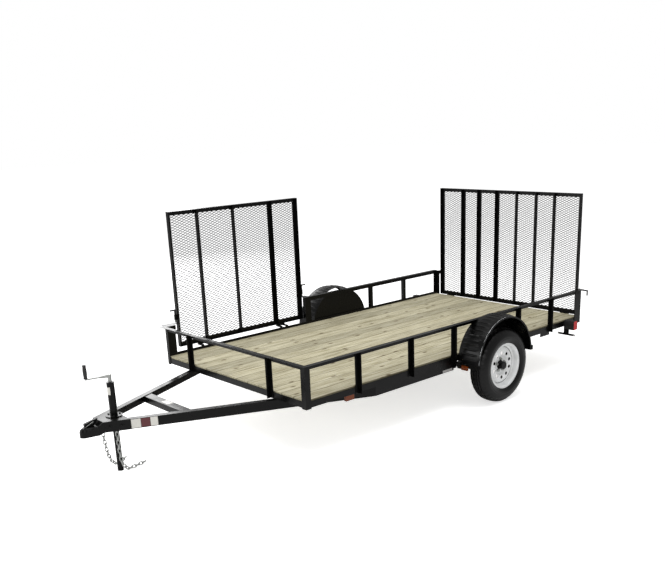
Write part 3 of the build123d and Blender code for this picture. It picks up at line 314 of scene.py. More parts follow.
def expanded_sheet(name, node_name, across, outward, body):
    """Fill a gate's mesh node with tilted strands.

    across is the sheet's long axis, and outward is the way it faces."""
    low, high = (Vector(corner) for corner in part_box(node_name))
    across, outward, up = Vector(across), Vector(outward), Vector((0, 0, 1))
    middle = (low + high) / 2 - outward * strand_sink
    wide, tall = abs((high - low).dot(across)), high.z - low.z
    columns = 2 * round(wide / diamond_long)
    rows = 2 * round(tall / diamond_short)
    step_x, step_z = wide / columns, tall / rows
    start = middle - across * wide / 2 - up * tall / 2
    verts, faces = [], []
    for row in range(rows):
        for column in range(columns):
            rising = (row + column) % 2 == 0
            z0, z1 = (row, row + 1) if rising else (row + 1, row)
            first = start + across * (column * step_x) + up * (z0 * step_z)
            last = start + across * ((column + 1) * step_x) + up * (z1 * step_z)
            run = (last - first).normalized()
            flat = run.cross(outward)
            turned = Matrix.Rotation(strand_tilt, 3, run)
            side = turned @ flat * (strand_width / 2)
            face = turned @ outward * (strand_thick / 2)
            base = len(verts)
            for point in (first, last):
                verts += [point + side + face, point - side + face,
                          point - side - face, point + side - face]
            faces += skin(2, 4, base)
    piece = put(name, verts, faces, bright_steel, body, "mesh_steel")
    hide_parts(node_name)
    return piece


expanded_sheet("rear_gate_lattice", "rear_gate_mesh", (0, 1, 0), (-1, 0, 0), "rear_gate")
expanded_sheet("side_gate_lattice", "side_gate_mesh", (1, 0, 0), (0, -1, 0), "side_gate")

# Wheels: 15 inch pressed-steel modular wheels in white enamel. The dish is a stamped disc with ten
# round vents, welded into a rolled rim; the front edge of the rim is a turned-out flange.
axle_low, axle_high = (Vector(corner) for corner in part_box("axle"))
wheel_x = (axle_low.x + axle_high.x) / 2
wheel_z = (axle_low.z + axle_high.z) / 2
hands = ((1, "left"), (-1, "right"))

white_enamel, white_shader = new_material("pressed steel, white enamel")
white_place = add_node(white_enamel, "ShaderNodeTexCoord")
# brake dust and road film gather in drifts about 80 mm across
road_film = add_node(white_enamel, "ShaderNodeTexNoise", (), {"Scale": 12.0, "Detail": 6.0},
                     [("Vector", white_place, "Object")])
white_colour = add_node(white_enamel, "ShaderNodeValToRGB", (), (), [("Fac", road_film, "Fac")])
white_colour.color_ramp.elements[0].position = 0.3
white_colour.color_ramp.elements[0].color = linear("#dddedd")
white_colour.color_ramp.elements[1].position = 0.6
white_colour.color_ramp.elements[1].color = linear("#eeefef")
link(white_enamel, white_colour, "Color", white_shader, "Base Color")
white_shader.inputs["Roughness"].default_value = 0.3


def spun(profile, turns, side):
    """Revolve (distance out along the axle, radius) points about the wheel's axle."""
    verts = []
    for turn in range(turns):
        angle = 2 * pi * turn / turns
        for out, radius in profile:
            verts.append((wheel_x + radius * cos(angle), side * out, wheel_z + radius * sin(angle)))
    return verts, skin(turns, len(profile), closed=True)


def cut_away(piece, cutter_verts, cutter_faces):
    """Cut a solid out of a piece, and apply it."""
    cutter_mesh = bpy.data.meshes.new("cutter")
    cutter_mesh.from_pydata([tuple(v) for v in cutter_verts], [], cutter_faces)
    shape = bmesh.new()
    shape.from_mesh(cutter_mesh)
    bmesh.ops.recalc_face_normals(shape, faces=shape.faces)
    shape.to_mesh(cutter_mesh)
    shape.free()
    cutter = bpy.data.objects.new("cutter", cutter_mesh)
    bpy.context.scene.collection.objects.link(cutter)
    modifier = piece.modifiers.new("vents", "BOOLEAN")
    modifier.operation = "DIFFERENCE"
    modifier.solver = "EXACT"
    modifier.object = cutter
    bpy.context.view_layer.update()
    cut = bpy.data.meshes.new_from_object(
        piece.evaluated_get(bpy.context.evaluated_depsgraph_get()))
    piece.modifiers.clear()
    piece.data = cut
    bpy.data.objects.remove(cutter)


def arc(centre, radius, start, end, steps):
    """Points along an arc in the wheel's half section, angles in degrees."""
    return [(centre[0] + radius * cos(radians(start + (end - start) * i / steps)),
             centre[1] + radius * sin(radians(start + (end - start) * i / steps)))
            for i in range(steps + 1)]


# behind the disc the wheel lies in shade, so its inboard faces get a dark painted shade over the
# white enamel
inside_shade, inside_shade_shader = new_material("painted shade inside the wheel")
inside_shade_shader.inputs["Base Color"].default_value = linear("#1c1a18")
inside_shade_shader.inputs["Roughness"].default_value = 0.9

rim_mid, rim_half, rim_skin = 1.113, 0.076, 0.004
rim_barrel, rim_flange = 0.190, 0.207
disc_seat_y, disc_ring_y = 1.124, 1.144
rim_turns = 96
rim_crease = radians(40)  # sharper edges than this stay crisp
# the rolled rim: barrel between two flanges whose lips are rolled outward
rim_profile = (
    [(rim_mid - rim_half, rim_flange - 0.002), (rim_mid - rim_half + 0.001, rim_flange)]
    + [(rim_mid - rim_half + 0.004, rim_flange - 0.001), (rim_mid - rim_half + 0.006, 0.196)]
    + arc((rim_mid - rim_half + 0.014, 0.198), 0.008, 180, 270, 4)
    + [(rim_mid - 0.030, rim_barrel - 0.001), (rim_mid - 0.022, rim_barrel - 0.016)]
    + [(rim_mid + 0.018, rim_barrel - 0.016), (rim_mid + 0.026, rim_barrel - 0.001)]
    + arc((rim_mid + rim_half - 0.014, 0.198), 0.008, 270, 360, 4)
    + [(rim_mid + rim_half - 0.004, rim_flange - 0.001), (rim_mid + rim_half - 0.001, rim_flange)]
    + [(rim_mid + rim_half, rim_flange - 0.002), (rim_mid + rim_half, 0.197)]
    + arc((rim_mid + rim_half - 0.012, 0.198), 0.012, 0, -90, 4)
    + [(rim_mid + 0.030, rim_barrel - rim_skin), (rim_mid + 0.020, rim_barrel - 0.020)]
    + [(rim_mid - 0.024, rim_barrel - 0.020), (rim_mid - 0.034, rim_barrel - rim_skin)]
    + arc((rim_mid - rim_half + 0.012, 0.198), 0.012, 270, 180, 4)
)
# the stamped disc: a seat on the hub, a rise to a rounded ring, and a flange inside the barrel
disc_front = (
    [(disc_seat_y + rim_skin, 0.043), (disc_seat_y + rim_skin, 0.074)]
    + [(disc_seat_y + 0.006, 0.079), (disc_ring_y, 0.090), (disc_ring_y + 0.003, 0.094)]
    + [(disc_ring_y + rim_skin, 0.098), (disc_ring_y + rim_skin, 0.138)]
    + [(disc_ring_y + 0.001, 0.150), (disc_ring_y - 0.008, 0.163), (disc_ring_y - 0.016, 0.168)]
)
disc_skin = 0.0035
disc_back = [(out - disc_skin, radius + 0.001 * (radius > 0.1))
             for out, radius in reversed(disc_front)]
vent_circle, vent_radius, vent_count, vent_sides = 0.113, 0.0152, 10, 20
for side, hand in hands:
    disc = put(f"wheel_disc_{hand}", *spun(disc_front + disc_back, rim_turns, side), white_enamel,
               f"wheel_{hand}", "white_paint")
    verts, faces = [], []
    for vent in range(vent_count):
        angle = 2 * pi * (vent + 0.5) / vent_count
        centre_x = wheel_x + vent_circle * cos(angle)
        centre_z = wheel_z + vent_circle * sin(angle)
        base = len(verts)
        for out in (disc_seat_y - 0.05, disc_ring_y + 0.05):
            for step in range(vent_sides):
                bend = 2 * pi * step / vent_sides
                verts.append((centre_x + vent_radius * cos(bend), side * out,
                              centre_z + vent_radius * sin(bend)))
        far = base + vent_sides
        faces += skin(2, vent_sides, base)
        faces += [tuple(range(base, far)), tuple(range(far + vent_sides - 1, far - 1, -1))]
    cut_away(disc, verts, faces)
    disc.data.materials.clear()
    disc.data.materials.append(white_enamel)
    barrel = put(f"wheel_rim_{hand}", *spun(rim_profile, rim_turns, side), white_enamel,
                 f"wheel_{hand}", "white_paint", smooth=True)
    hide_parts(f"rim_{hand}")
    for piece in (disc, barrel):
        for polygon in piece.data.polygons:
            polygon.use_smooth = True
        piece.data.materials.append(inside_shade)
        # the inboard faces behind the disc and inside the barrel take the painted shade
        for polygon in piece.data.polygons:
            spot = polygon.center
            inward = (polygon.normal.x * (spot.x - wheel_x)
                      + polygon.normal.z * (spot.z - wheel_z))
            hidden = polygon.normal.y * side < 0.2 if piece is disc else inward < 0
            if hidden and spot.y * side < (disc_ring_y + 0.003 if piece is disc else disc_seat_y):
                polygon.material_index = 1
        bevel = piece.modifiers.new("crisp edges", "EDGE_SPLIT")
        bevel.split_angle = rim_crease

# Tyres: 15 inch bias-ply trailer tyres of moulded rubber. Smooth black sidewalls with a scuff rib
# and bead ring, and a road tread of four zigzag grooves between blocks that run out over the
# shoulders.
tyre_rubber, tyre_shader = new_material("tyre rubber, moulded")
tyre_place = add_node(tyre_rubber, "ShaderNodeTexCoord")
# dust bloom in drifts about 70 mm across
bloom = add_node(tyre_rubber, "ShaderNodeTexNoise", (), {"Scale": 14.0, "Detail": 6.0},
                 [("Vector", tyre_place, "Object")])
tyre_colour = add_node(tyre_rubber, "ShaderNodeValToRGB", (), (), [("Fac", bloom, "Fac")])
tyre_colour.color_ramp.elements[0].color = linear("#050505")
tyre_colour.color_ramp.elements[1].color = linear("#0c0c0c")
link(tyre_rubber, tyre_colour, "Color", tyre_shader, "Base Color")
tyre_shader.inputs["Roughness"].default_value = 0.30
tyre_shader.inputs["Specular IOR Level"].default_value = 0.24

sidewall = (  # distance from the tyre's middle, radius, from bead to shoulder
    (0.0720, 0.1910), (0.0735, 0.2030), (0.0745, 0.2080), (0.0772, 0.2120), (0.0780, 0.2150),
    (0.0800, 0.2160), (0.0840, 0.2230), (0.0880, 0.2320), (0.0906, 0.2420), (0.0920, 0.2500),
    (0.0926, 0.2550), (0.0916, 0.2568), (0.0916, 0.2598), (0.0924, 0.2616), (0.0913, 0.2700),
    (0.0888, 0.2800), (0.0855, 0.2895), (0.0812, 0.2990), (0.0768, 0.3070),
)
shoulder = ((0.0722, 0.3135), (0.0665, 0.3205), (0.0605, 0.3262), (0.0545, 0.3303))
groove_depth = 0.0075
tread = (  # distance from the middle, radius, how far it zigzags
    (0.0500, 0.3325, 0.0), (0.0440, 0.3343, 0.0020), (0.0430, 0.3343 - groove_depth, 0.0020),
    (0.0375, 0.3353 - groove_depth, 0.0020), (0.0365, 0.3358, 0.0020), (0.0270, 0.3368, 0.0),
    (0.0175, 0.3376, 0.0026), (0.0165, 0.3376 - groove_depth, 0.0026),
    (0.0105, 0.3379 - groove_depth, 0.0026), (0.0095, 0.3379, 0.0026), (0.0, 0.3380, 0.0),
)
tyre_turns = 168
shoulder_cut, tread_cut = 0.005, 0.004  # depth of the cuts across the blocks
tread_edge = 0.333  # the cuts cross the tread outside this radius
tread_crease = radians(38)
lining = [(0.060, 0.1910), (0.068, 0.2200), (0.081, 0.2550), (0.060, 0.3100)]
for side, hand in hands:
    verts = []
    for turn in range(tyre_turns):
        angle = 2 * pi * turn / tyre_turns
        zig = (1, 0.4, -1, -0.4)[turn % 4]
        cut_here = turn % 4 == 0
        edge = [(across, radius - shoulder_cut * cut_here) for across, radius in shoulder]
        blocks = [(across, radius - tread_cut * (cut_here and radius > tread_edge), zig * shift)
                  for across, radius, shift in tread]
        ring = [(-across, radius) for across, radius in (*sidewall, *edge)]
        ring += [(-across + slip, radius) for across, radius, slip in blocks]
        ring += [(across + slip, radius) for across, radius, slip in reversed(blocks[:-1])]
        ring += reversed(edge)
        ring += reversed(sidewall)
        ring += lining
        ring += [(-across, radius) for across, radius in reversed(lining)]
        verts += [(wheel_x + radius * cos(angle), side * (rim_mid + across),
                   wheel_z + radius * sin(angle)) for across, radius in ring]
    faces = skin(tyre_turns, len(ring), closed=True)
    tyre = put(f"road_tyre_{hand}", verts, faces, tyre_rubber, f"wheel_{hand}", "tyre_rubber",
               smooth=True)
    edges = tyre.modifiers.new("crisp edges", "EDGE_SPLIT")
    edges.split_angle = tread_crease
    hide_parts(f"tyre_{hand}")

# Jack crank, grip and lamps: a bent rod in dull zinc plate, a grip and lamp bases moulded in black
# plastic with a fine grain, and acrylic lenses with prisms moulded inside.
zinc_plate, zinc_shader = new_material("zinc-plated steel, dull")
zinc_place = add_node(zinc_plate, "ShaderNodeTexCoord")
# the plating's cloudy patches, about 15 mm across
zinc_clouds = add_node(zinc_plate, "ShaderNodeTexNoise", (), {"Scale": 65.0, "Detail": 3.0},
                       [("Vector", zinc_place, "Object")])
zinc_colour = add_node(zinc_plate, "ShaderNodeValToRGB", (), (), [("Fac", zinc_clouds, "Fac")])
zinc_colour.color_ramp.elements[0].color = linear("#8f918f")
zinc_colour.color_ramp.elements[1].color = linear("#b9bab7")
link(zinc_plate, zinc_colour, "Color", zinc_shader, "Base Color")
zinc_shader.inputs["Metallic"].default_value = 0.9
zinc_shader.inputs["Roughness"].default_value = 0.38

paint("jack_crank", zinc_plate)

moulded_black, moulded_shader = new_material("moulded black plastic, fine grain")
moulded_shader.inputs["Base Color"].default_value = linear("#141414")
moulded_place = add_node(moulded_black, "ShaderNodeTexCoord")
# moulding grain is about 0.3 mm and is drawn at 1.5 mm
moulded_grain = add_node(moulded_black, "ShaderNodeTexVoronoi", (), {"Scale": 650.0},
                         [("Vector", moulded_place, "Object")])
moulded_bump = add_node(moulded_black, "ShaderNodeBump", (), {"Strength": 0.2, "Distance": 0.0003},
                        [("Height", moulded_grain, "Distance")])
link(moulded_black, moulded_bump, "Normal", moulded_shader, "Normal")
moulded_shader.inputs["Roughness"].default_value = 0.5
paint("crank_grip", moulded_black)
paint("tail_lamps", moulded_black)

red_lens, red_shader = new_material("acrylic lens, red")
amber_lens, amber_shader = new_material("acrylic lens, amber")
for lens, shader, colour in ((red_lens, red_shader, "#c4141c"),
                             (amber_lens, amber_shader, "#6b2f08")):
    lens_place = add_node(lens, "ShaderNodeTexCoord")
    # prisms moulded inside the lens, 4 mm apart
    prisms = add_node(lens, "ShaderNodeTexVoronoi", (), {"Scale": 250.0, "Randomness": 0.0},
                      [("Vector", lens_place, "Object")])
    prism_bump = add_node(lens, "ShaderNodeBump", (), {"Strength": 0.5, "Distance": 0.0008},
                          [("Height", prisms, "Distance")])
    link(lens, prism_bump, "Normal", shader, "Normal")
    shader.inputs["Base Color"].default_value = linear(colour)
    shader.inputs["Roughness"].default_value = 0.16
    shader.inputs["Specular IOR Level"].default_value = 0.3
    shader.inputs["Subsurface Weight"].default_value = 0.15
    shader.inputs["Subsurface Radius"].default_value = (0.004, 0.001, 0.001)
paint("tail_lenses", red_lens)
paint("marker_lamps", amber_lens)

# Fenders: rolled sheet arches. The rolls leave a crosswise crease every few degrees over the crown,
# running out before the wired outer edge. Sprayed with the frame, so in the same black enamel.
fender_low, fender_high = (Vector(corner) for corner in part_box("fender_left"))
arch_half = 0.387
arch_x = fender_low.x + 0.014 + arch_half
arch_z = fender_high.z - arch_half
crown_rise, crown_half = 0.008, 0.1185
crown_y = fender_high.y - crown_half
crown_bend = (crown_half ** 2 + crown_rise ** 2) / (2 * crown_rise)
crease_half, crease_height, crease_sink, crease_count = 0.0130, 0.0060, 0.0004, 25
crease_first, crease_spread = 7, 166  # degrees round the arch
crease_inner, crease_outer = -0.108, 0.092  # from the crown's middle
stations, steps = 15, 6  # points across the fender and along the arch, for each crease
rail_clear_y, rail_clear_z = 1.018, 0.753
for side, hand in hands:
    verts, faces = [], []
    for crease in range(crease_count):
        middle = radians(crease_first + crease_spread * crease / (crease_count - 1))
        base = len(verts)
        inner = crease_inner
        if arch_z + arch_half * sin(middle) > rail_clear_z:
            inner = max(inner, rail_clear_y - crown_y)
        for station in range(stations):
            across = inner + (crease_outer - inner) * station / (stations - 1)
            sheet = arch_half - crown_bend + (crown_bend ** 2 - across ** 2) ** 0.5
            swell = min(1.0, 4.0 * min(station, stations - 1 - station) / (stations - 1))
            for step in range(steps + 1):
                share = (step - steps // 2) / (steps // 2)
                lift = crease_height * swell * (1 + cos(pi * share)) / 2 - crease_sink
                angle = middle + crease_half * share / arch_half
                verts.append((arch_x + (sheet + lift) * cos(angle), side * (crown_y + across),
                              arch_z + (sheet + lift) * sin(angle)))
        for station in range(stations - 1):
            for step in range(steps):
                corner = base + station * (steps + 1) + step
                faces.append((corner, corner + 1, corner + steps + 2, corner + steps + 1))
    put(f"fender_creases_{hand}", verts, faces, black_enamel, "chassis", "black_paint", smooth=True)

# Fender edges: the outer edge is rolled over a wire and stands proud. A tube over it carries a
# painted highlight in broken bright lines, where the rolled edge catches the light. The front end
# closes with a sheet flange up to the frame.
edge_highlight, edge_highlight_shader = new_material("rolled steel edge, painted highlight")
edge_highlight_place = add_node(edge_highlight, "ShaderNodeTexCoord")
# the painted highlight runs in lengths of about 60 mm
highlight_runs = add_node(edge_highlight, "ShaderNodeTexNoise", (), {"Scale": 16.0, "Detail": 3.0},
                       [("Vector", edge_highlight_place, "Object")])
highlight_mask = add_node(edge_highlight, "ShaderNodeMapRange", (),
                       {"From Min": 0.38, "From Max": 0.50}, [("Value", highlight_runs, "Fac")])
# the pale steel colour is the painted highlight, and black enamel shows between its runs
edge_highlight_colour = add_node(edge_highlight, "ShaderNodeMix", {"data_type": "RGBA"},
                         {"A": linear("#0a0a0a"), "B": linear("#d4d6d8")},
                         [("Factor", highlight_mask, "Result")])
link(edge_highlight, edge_highlight_colour, "Result", edge_highlight_shader, "Base Color")
edge_highlight_shader.inputs["Metallic"].default_value = 0.3
edge_highlight_shader.inputs["Roughness"].default_value = 0.3
edge_radius, edge_y, wire_radius = 0.3765, 1.2088, 0.0034
stations, around = 121, 8
for side, hand in hands:
    verts = []
    for station in range(stations):
        angle = radians(2 + 176 * station / (stations - 1))
        for step in range(around):
            turn = 2 * pi * step / around
            radius = edge_radius + wire_radius * cos(turn)
            verts.append((arch_x + radius * cos(angle), side * (edge_y + wire_radius * sin(turn)),
                          arch_z + radius * sin(angle)))
    faces = skin(stations, around)
    faces += [tuple(range(around)), tuple(range((stations - 1) * around, stations * around))]
    put(f"fender_edge_{hand}", verts, faces, edge_highlight, "chassis", "black_paint", smooth=True)


def gather(solids):
    """Several (verts, faces) solids as one."""
    verts, faces = [], []
    for more_verts, more_faces in solids:
        base = len(verts)
        verts += more_verts
        faces += [tuple(base + i for i in face) for face in more_faces]
    return verts, faces


def hull(points):
    """The smallest convex solid round some points."""
    shape = bmesh.new()
    for point in points:
        shape.verts.new(point)
    bmesh.ops.convex_hull(shape, input=shape.verts)
    shape.verts.ensure_lookup_table()
    shape.verts.index_update()
    solid = ([vert.co.copy() for vert in shape.verts],
             [tuple(vert.index for vert in face.verts) for face in shape.faces])
    shape.free()
    return solid


def bar(low, high, soft=0.0006):
    """A straight bar with all its edges taken off, between two corners."""
    low, high = Vector(low), Vector(high)
    middle, half = (low + high) / 2, (high - low) / 2
    points = []
    for axis in range(3):
        for x in (-1, 1):
            for y in (-1, 1):
                for z in (-1, 1):
                    inset = [soft, soft, soft]
                    inset[axis] = 0
                    points.append(middle + Vector((x * (half.x - inset[0]), y * (half.y - inset[1]),
                                                   z * (half.z - inset[2]))))
    return hull(points)


flange_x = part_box("marker_lamps")[0][0]
flange_steel = 0.003
for side, hand in hands:
    near, far = sorted((side * 1.0940, side * 1.2070))
    gusset = [Vector((x, side * y, z)) for x in (flange_x - flange_steel, flange_x)
              for y, z in ((0.9775, 0.3680), (0.9775, 0.4250), (0.9400, 0.4345), (0.9400, 0.4200))]
    put(f"fender_flange_{hand}", *gather([
        bar((flange_x - flange_steel, near, 0.384), (flange_x, far, 0.4245)), hull(gusset)]),
        black_enamel, "chassis", "black_paint")

# Lug nuts and valves: chamfered zinc hex nuts on round cone seats, each with its stud's end
# showing, and a black rubber snap-in valve with its cap.
hub_face = 1.128
stud_ring = 0.05715
cone_seat = [(0, 0.0145), (0.003, 0.0135), (0.0032, 0.011)]
hexagon = [(0.001, 0.0124), (0.0175, 0.0124), (0.0192, 0.0100)]
stud_end = [(0.018, 0.0062), (0.0225, 0.0062), (0.0235, 0.0052)]
valve_bearing, valve_ring = radians(36), 0.166


def lathe(start, direction, outline, sides, turn=0.0):
    """A turned or hexagonal solid: (distance along, radius) pairs about a line from a point."""
    direction = Vector(direction).normalized()
    across = direction.orthogonal().normalized()
    over = direction.cross(across)
    verts = []
    for along, radius in outline:
        for step in range(sides):
            angle = turn + 2 * pi * step / sides
            verts.append(Vector(start) + direction * along
                         + (across * cos(angle) + over * sin(angle)) * radius)
    faces = skin(len(outline), sides)
    faces.append(tuple(range(sides)))
    faces.append(tuple(range((len(outline) - 1) * sides, len(outline) * sides)))
    return verts, faces


for side, hand in hands:
    solids = []
    for stud in range(5):
        bearing = radians(90 + 72 * stud)
        place = Vector((wheel_x + stud_ring * cos(bearing), side * hub_face,
                        wheel_z + stud_ring * sin(bearing)))
        out = (0, side, 0)
        lean = bearing if side > 0 else -bearing
        first = Vector((0, side, 0)).orthogonal().normalized()
        lean -= atan2(first.z, first.x) * side
        solids += [lathe(place, out, cone_seat, 24), lathe(place, out, hexagon, 6, turn=lean),
                   lathe(place, out, stud_end, 16)]
    put(f"lug_nuts_{hand}", *gather(solids), zinc_plate, f"wheel_{hand}", "zinc")
    valve_place = (wheel_x + valve_ring * cos(valve_bearing), side * (disc_ring_y - 0.016),
                   wheel_z + valve_ring * sin(valve_bearing))
    put(f"valve_{hand}", *lathe(valve_place, (0, side, 0), [
        (0, 0.0085), (0.006, 0.0075), (0.009, 0.0052), (0.024, 0.0045), (0.025, 0.0056),
        (0.034, 0.0052), (0.0355, 0.004)], 16), tyre_rubber, f"wheel_{hand}", "tyre_rubber")

# Safety chains: welded zinc-plated 5/16 inch proof-coil chain, each link a bent round wire.
# One chain a side, from under the coupler to the ground.
neck_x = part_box("coupler")[1][0] - 0.155
link_wire, link_long, link_wide, link_step = 0.0040, 0.048, 0.0305, 0.0335  # wire by radius
link_roll = radians(45)
bends, around = 20, 8
chain_runs = {  # ahead of the coupler's neck, to the left, up
    "left": (
        (-0.111, 0.052, 0.42655), (-0.111, 0.052, 0.380), (-0.112, 0.054, 0.200),
        (-0.120, 0.056, 0.075), (-0.160, 0.054, 0.0145), (-0.250, 0.040, 0.0145),
        (-0.345, 0.016, 0.0145)),
    "right": (
        (-0.031, -0.018, 0.42655), (-0.031, -0.018, 0.380), (-0.040, -0.026, 0.260),
        (-0.060, -0.042, 0.150), (-0.096, -0.066, 0.065), (-0.150, -0.095, 0.0145),
        (-0.290, -0.190, 0.0145)),
}
for hand, run in chain_runs.items():
    route = [Vector((neck_x + ahead, left, up)) for ahead, left, up in run]
    lengths = [(end - start).length for start, end in zip(route, route[1:])]
    solids = []
    for index in range(int(sum(lengths) / link_step)):
        ends = []
        for distance in (index * link_step, (index + 1) * link_step):
            leg = 0
            while leg < len(lengths) - 1 and distance > lengths[leg]:
                distance -= lengths[leg]
                leg += 1
            ends.append(route[leg] + (route[leg + 1] - route[leg]).normalized() * distance)
        middle = (ends[0] + ends[1]) / 2
        along = (ends[1] - ends[0]).normalized()
        face = Matrix.Rotation(link_roll if index % 2 else -link_roll, 3, along) @ (
            Vector((0, 1, 0)) - along * along.y).normalized()
        broad = face.cross(along)
        half_wide = link_wide / 2 - link_wire
        half_straight = link_long / 2 - link_wire - half_wide
        verts = []
        for bend in range(bends):
            angle = 2 * pi * (bend + 0.5) / bends
            spine = broad * (half_wide * sin(angle)) + along * (
                half_wide * cos(angle) + half_straight * (1 if cos(angle) > 0 else -1))
            outward = broad * sin(angle) + along * cos(angle)
            for step in range(around):
                round_wire = 2 * pi * step / around
                verts.append(middle + spine + (outward * cos(round_wire) + face * sin(round_wire))
                             * link_wire)
        solids.append((verts, skin(bends, around, closed=True)))
    chain = put(f"link_chain_{hand}", *gather(solids), zinc_plate, "chassis", "zinc", smooth=True)
    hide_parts(f"chain_{hand}")

# Coupler hardware: the latch's pivot pin, hex bolts through the shell and the jack's three flange
# bolts were all sprayed over with the frame. Only the latch's spring clip went on later, in bright
# zinc.
tongue_sine, tongue_cosine, tongue_slope = 0.4226, 0.9063, 0.4663  # of the tongue's 25 degrees
painted = [
    lathe((neck_x + 0.069, -0.062, 0.400), (0, 1, 0), [
        (0, 0.009), (0.004, 0.009), (0.0042, 0.0055), (0.124, 0.0055), (0.1242, 0.009),
        (0.128, 0.009)], 20),
]
for ahead in (-0.040, -0.120):
    for side in (1, -1):
        shell_y = (0.158 - ahead) * tongue_slope + 0.0066
        out = Vector((tongue_sine, side * tongue_cosine, 0))
        painted.append(lathe((neck_x + ahead, side * shell_y, 0.398), out,
                            [(-0.001, 0.0135), (0.002, 0.0135), (0.0022, 0.0105), (0.009, 0.0105),
                             (0.0105, 0.0085)], 6))
jack_middle = [(low + high) / 2 for low, high in zip(*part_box("jack_tube"))]
for turn in range(3):
    bearing = radians(60 + 120 * turn)
    painted.append(lathe((jack_middle[0] + 0.047 * cos(bearing), 0.047 * sin(bearing), 0.4468),
                        (0, 0, 1), [(0, 0.009), (0.0015, 0.009), (0.0017, 0.0075), (0.007, 0.0075),
                                    (0.008, 0.006)], 6))
put("coupler_bolts", *gather(painted), black_enamel, "chassis", "black_paint")
clip_heel = Vector((neck_x + 0.046, 0.013, 0.4400))
clip_wire, clip_lap = 0.0026, 0.0012
clip_run = [clip_heel + Vector(away) for away in (
    (0, 0, 0), (0.022, 0.004, -0.006), (0.046, 0.002, -0.018), (0.060, -0.003, -0.028))]
solids = [lathe(start, end - start,
                [(-clip_lap, clip_wire), ((end - start).length + clip_lap, clip_wire)], 10)
          for start, end in zip(clip_run, clip_run[1:])]
solids.append(lathe((neck_x + 0.050, -0.014, 0.4360), (0, 1, 0),
                    [(0, 0.0058), (0.003, 0.0058), (0.0032, 0.0036), (0.026, 0.0036)], 14))
put("latch_clip", *gather(solids), zinc_plate, "chassis", "zinc")

# Running-gear hardware: hex heads and nuts on the spring hangers' bolts, and nuts under the two
# U-bolts at each end of the axle, all enamelled over with the frame.
spring_low, spring_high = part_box("spring_left")
clamp_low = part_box("axle_clamps")[0]
solids = []
for side in (1, -1):
    for eye_x in (spring_low[0] + 0.016, spring_high[0] - 0.016):
        eye_z = spring_high[2] - 0.016
        for face_y, out in ((0.9340, 1), (0.8760, -1)):
            solids.append(lathe((eye_x, side * face_y, eye_z), (0, side * out, 0),
                                [(0, 0.0125), (0.0065, 0.0125), (0.008, 0.0105)], 6))
    for step_x in (-0.036, 0.036):
        for step_y in (-0.028, 0.028):
            solids.append(lathe((wheel_x + step_x, side * 0.905 + step_y, clamp_low[2]), (0, 0, -1),
                                [(0, 0.0110), (0.009, 0.0110), (0.0095, 0.006), (0.016, 0.006)], 6))
put("spring_bolts", *gather(solids), black_enamel, "chassis", "black_paint")

# Deck screws: self-drilling flat heads, two to a plank at every cross member and at both ends, sunk
# until the head lies just proud of the wood.
deck_low, deck_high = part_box("deck_boards")
solids = []
bed_front, rail_flange, end_row = 1.1845, 0.076, 0.030
cross_members, cross_member_pitch, member_middle = 6, 3.518 / 7, 0.022
screw_rows = [deck_low[0] + end_row, deck_high[0] - end_row]
screw_rows += [bed_front - rail_flange - cross_member_pitch * (row + 1) - member_middle
               for row in range(cross_members)]
for row_x in screw_rows:
    for plank in range(planks):
        for share in (0.22, 0.78):
            screw_y = plank_first + plank_pitch * (plank + share)
            solids.append(lathe((row_x, screw_y, deck_high[2] - 0.0005), (0, 0, 1),
                                [(0, 0.0052), (0.0008, 0.0050), (0.0012, 0.0030)], 10))
put("deck_screws", *gather(solids), zinc_plate, "chassis", "zinc")

# Tail lamps and markers: sealed acrylic lenses in black plastic bases, with a moulded rim round
# each lens and two zinc screws holding it.
lens_low, lens_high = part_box("tail_lenses")
lens_z = (lens_low[2] + lens_high[2]) / 2
solids, screws = [], []
lamp_inner, lamp_outer = 0.9755, lens_high[1]
for side in (1, -1):
    for edge_z in (lens_low[2] + 0.001, lens_high[2] - 0.005):
        solids.append(bar((lens_low[0] - 0.003, min(side * lamp_inner, side * lamp_outer), edge_z),
                          (lens_low[0] + 0.006, max(side * lamp_inner, side * lamp_outer),
                           edge_z + 0.004)))
    for edge_y in (lamp_inner, lamp_outer - 0.004):
        solids.append(bar((lens_low[0] - 0.003, min(side * edge_y, side * (edge_y + 0.004)),
                           lens_low[2] + 0.001),
                          (lens_low[0] + 0.006, max(side * edge_y, side * (edge_y + 0.004)),
                           lens_high[2] - 0.001)))
    for screw_y in (lamp_inner + 0.014, lamp_outer - 0.014):
        screws.append(lathe((lens_low[0] + 0.0005, side * screw_y, lens_z), (-1, 0, 0),
                            [(0, 0.004), (0.0015, 0.0036), (0.0022, 0.002)], 12))
for side in (1, -1):
    inner, outer = sorted((side * lamp_inner, side * (lamp_outer + 0.0008)))
    solids.append(bar((lens_low[0] + 0.004, inner, lens_high[2] - 0.001),
                      (lens_high[0] + 0.0008, outer, lens_high[2] + 0.0012), soft=0.0004))
    inner, outer = sorted((side * 1.0480, side * (lamp_outer + 0.0008)))
    solids.append(bar((lens_high[0] - 0.0015, inner, lens_low[2] - 0.0005),
                      (lens_high[0] + 0.0012, outer, lens_high[2] + 0.0005), soft=0.0004))
put("tail_lamp_bezels", *gather(solids), moulded_black, "chassis", "black_plastic")
put("lamp_screws", *gather(screws), zinc_plate, "chassis", "zinc")

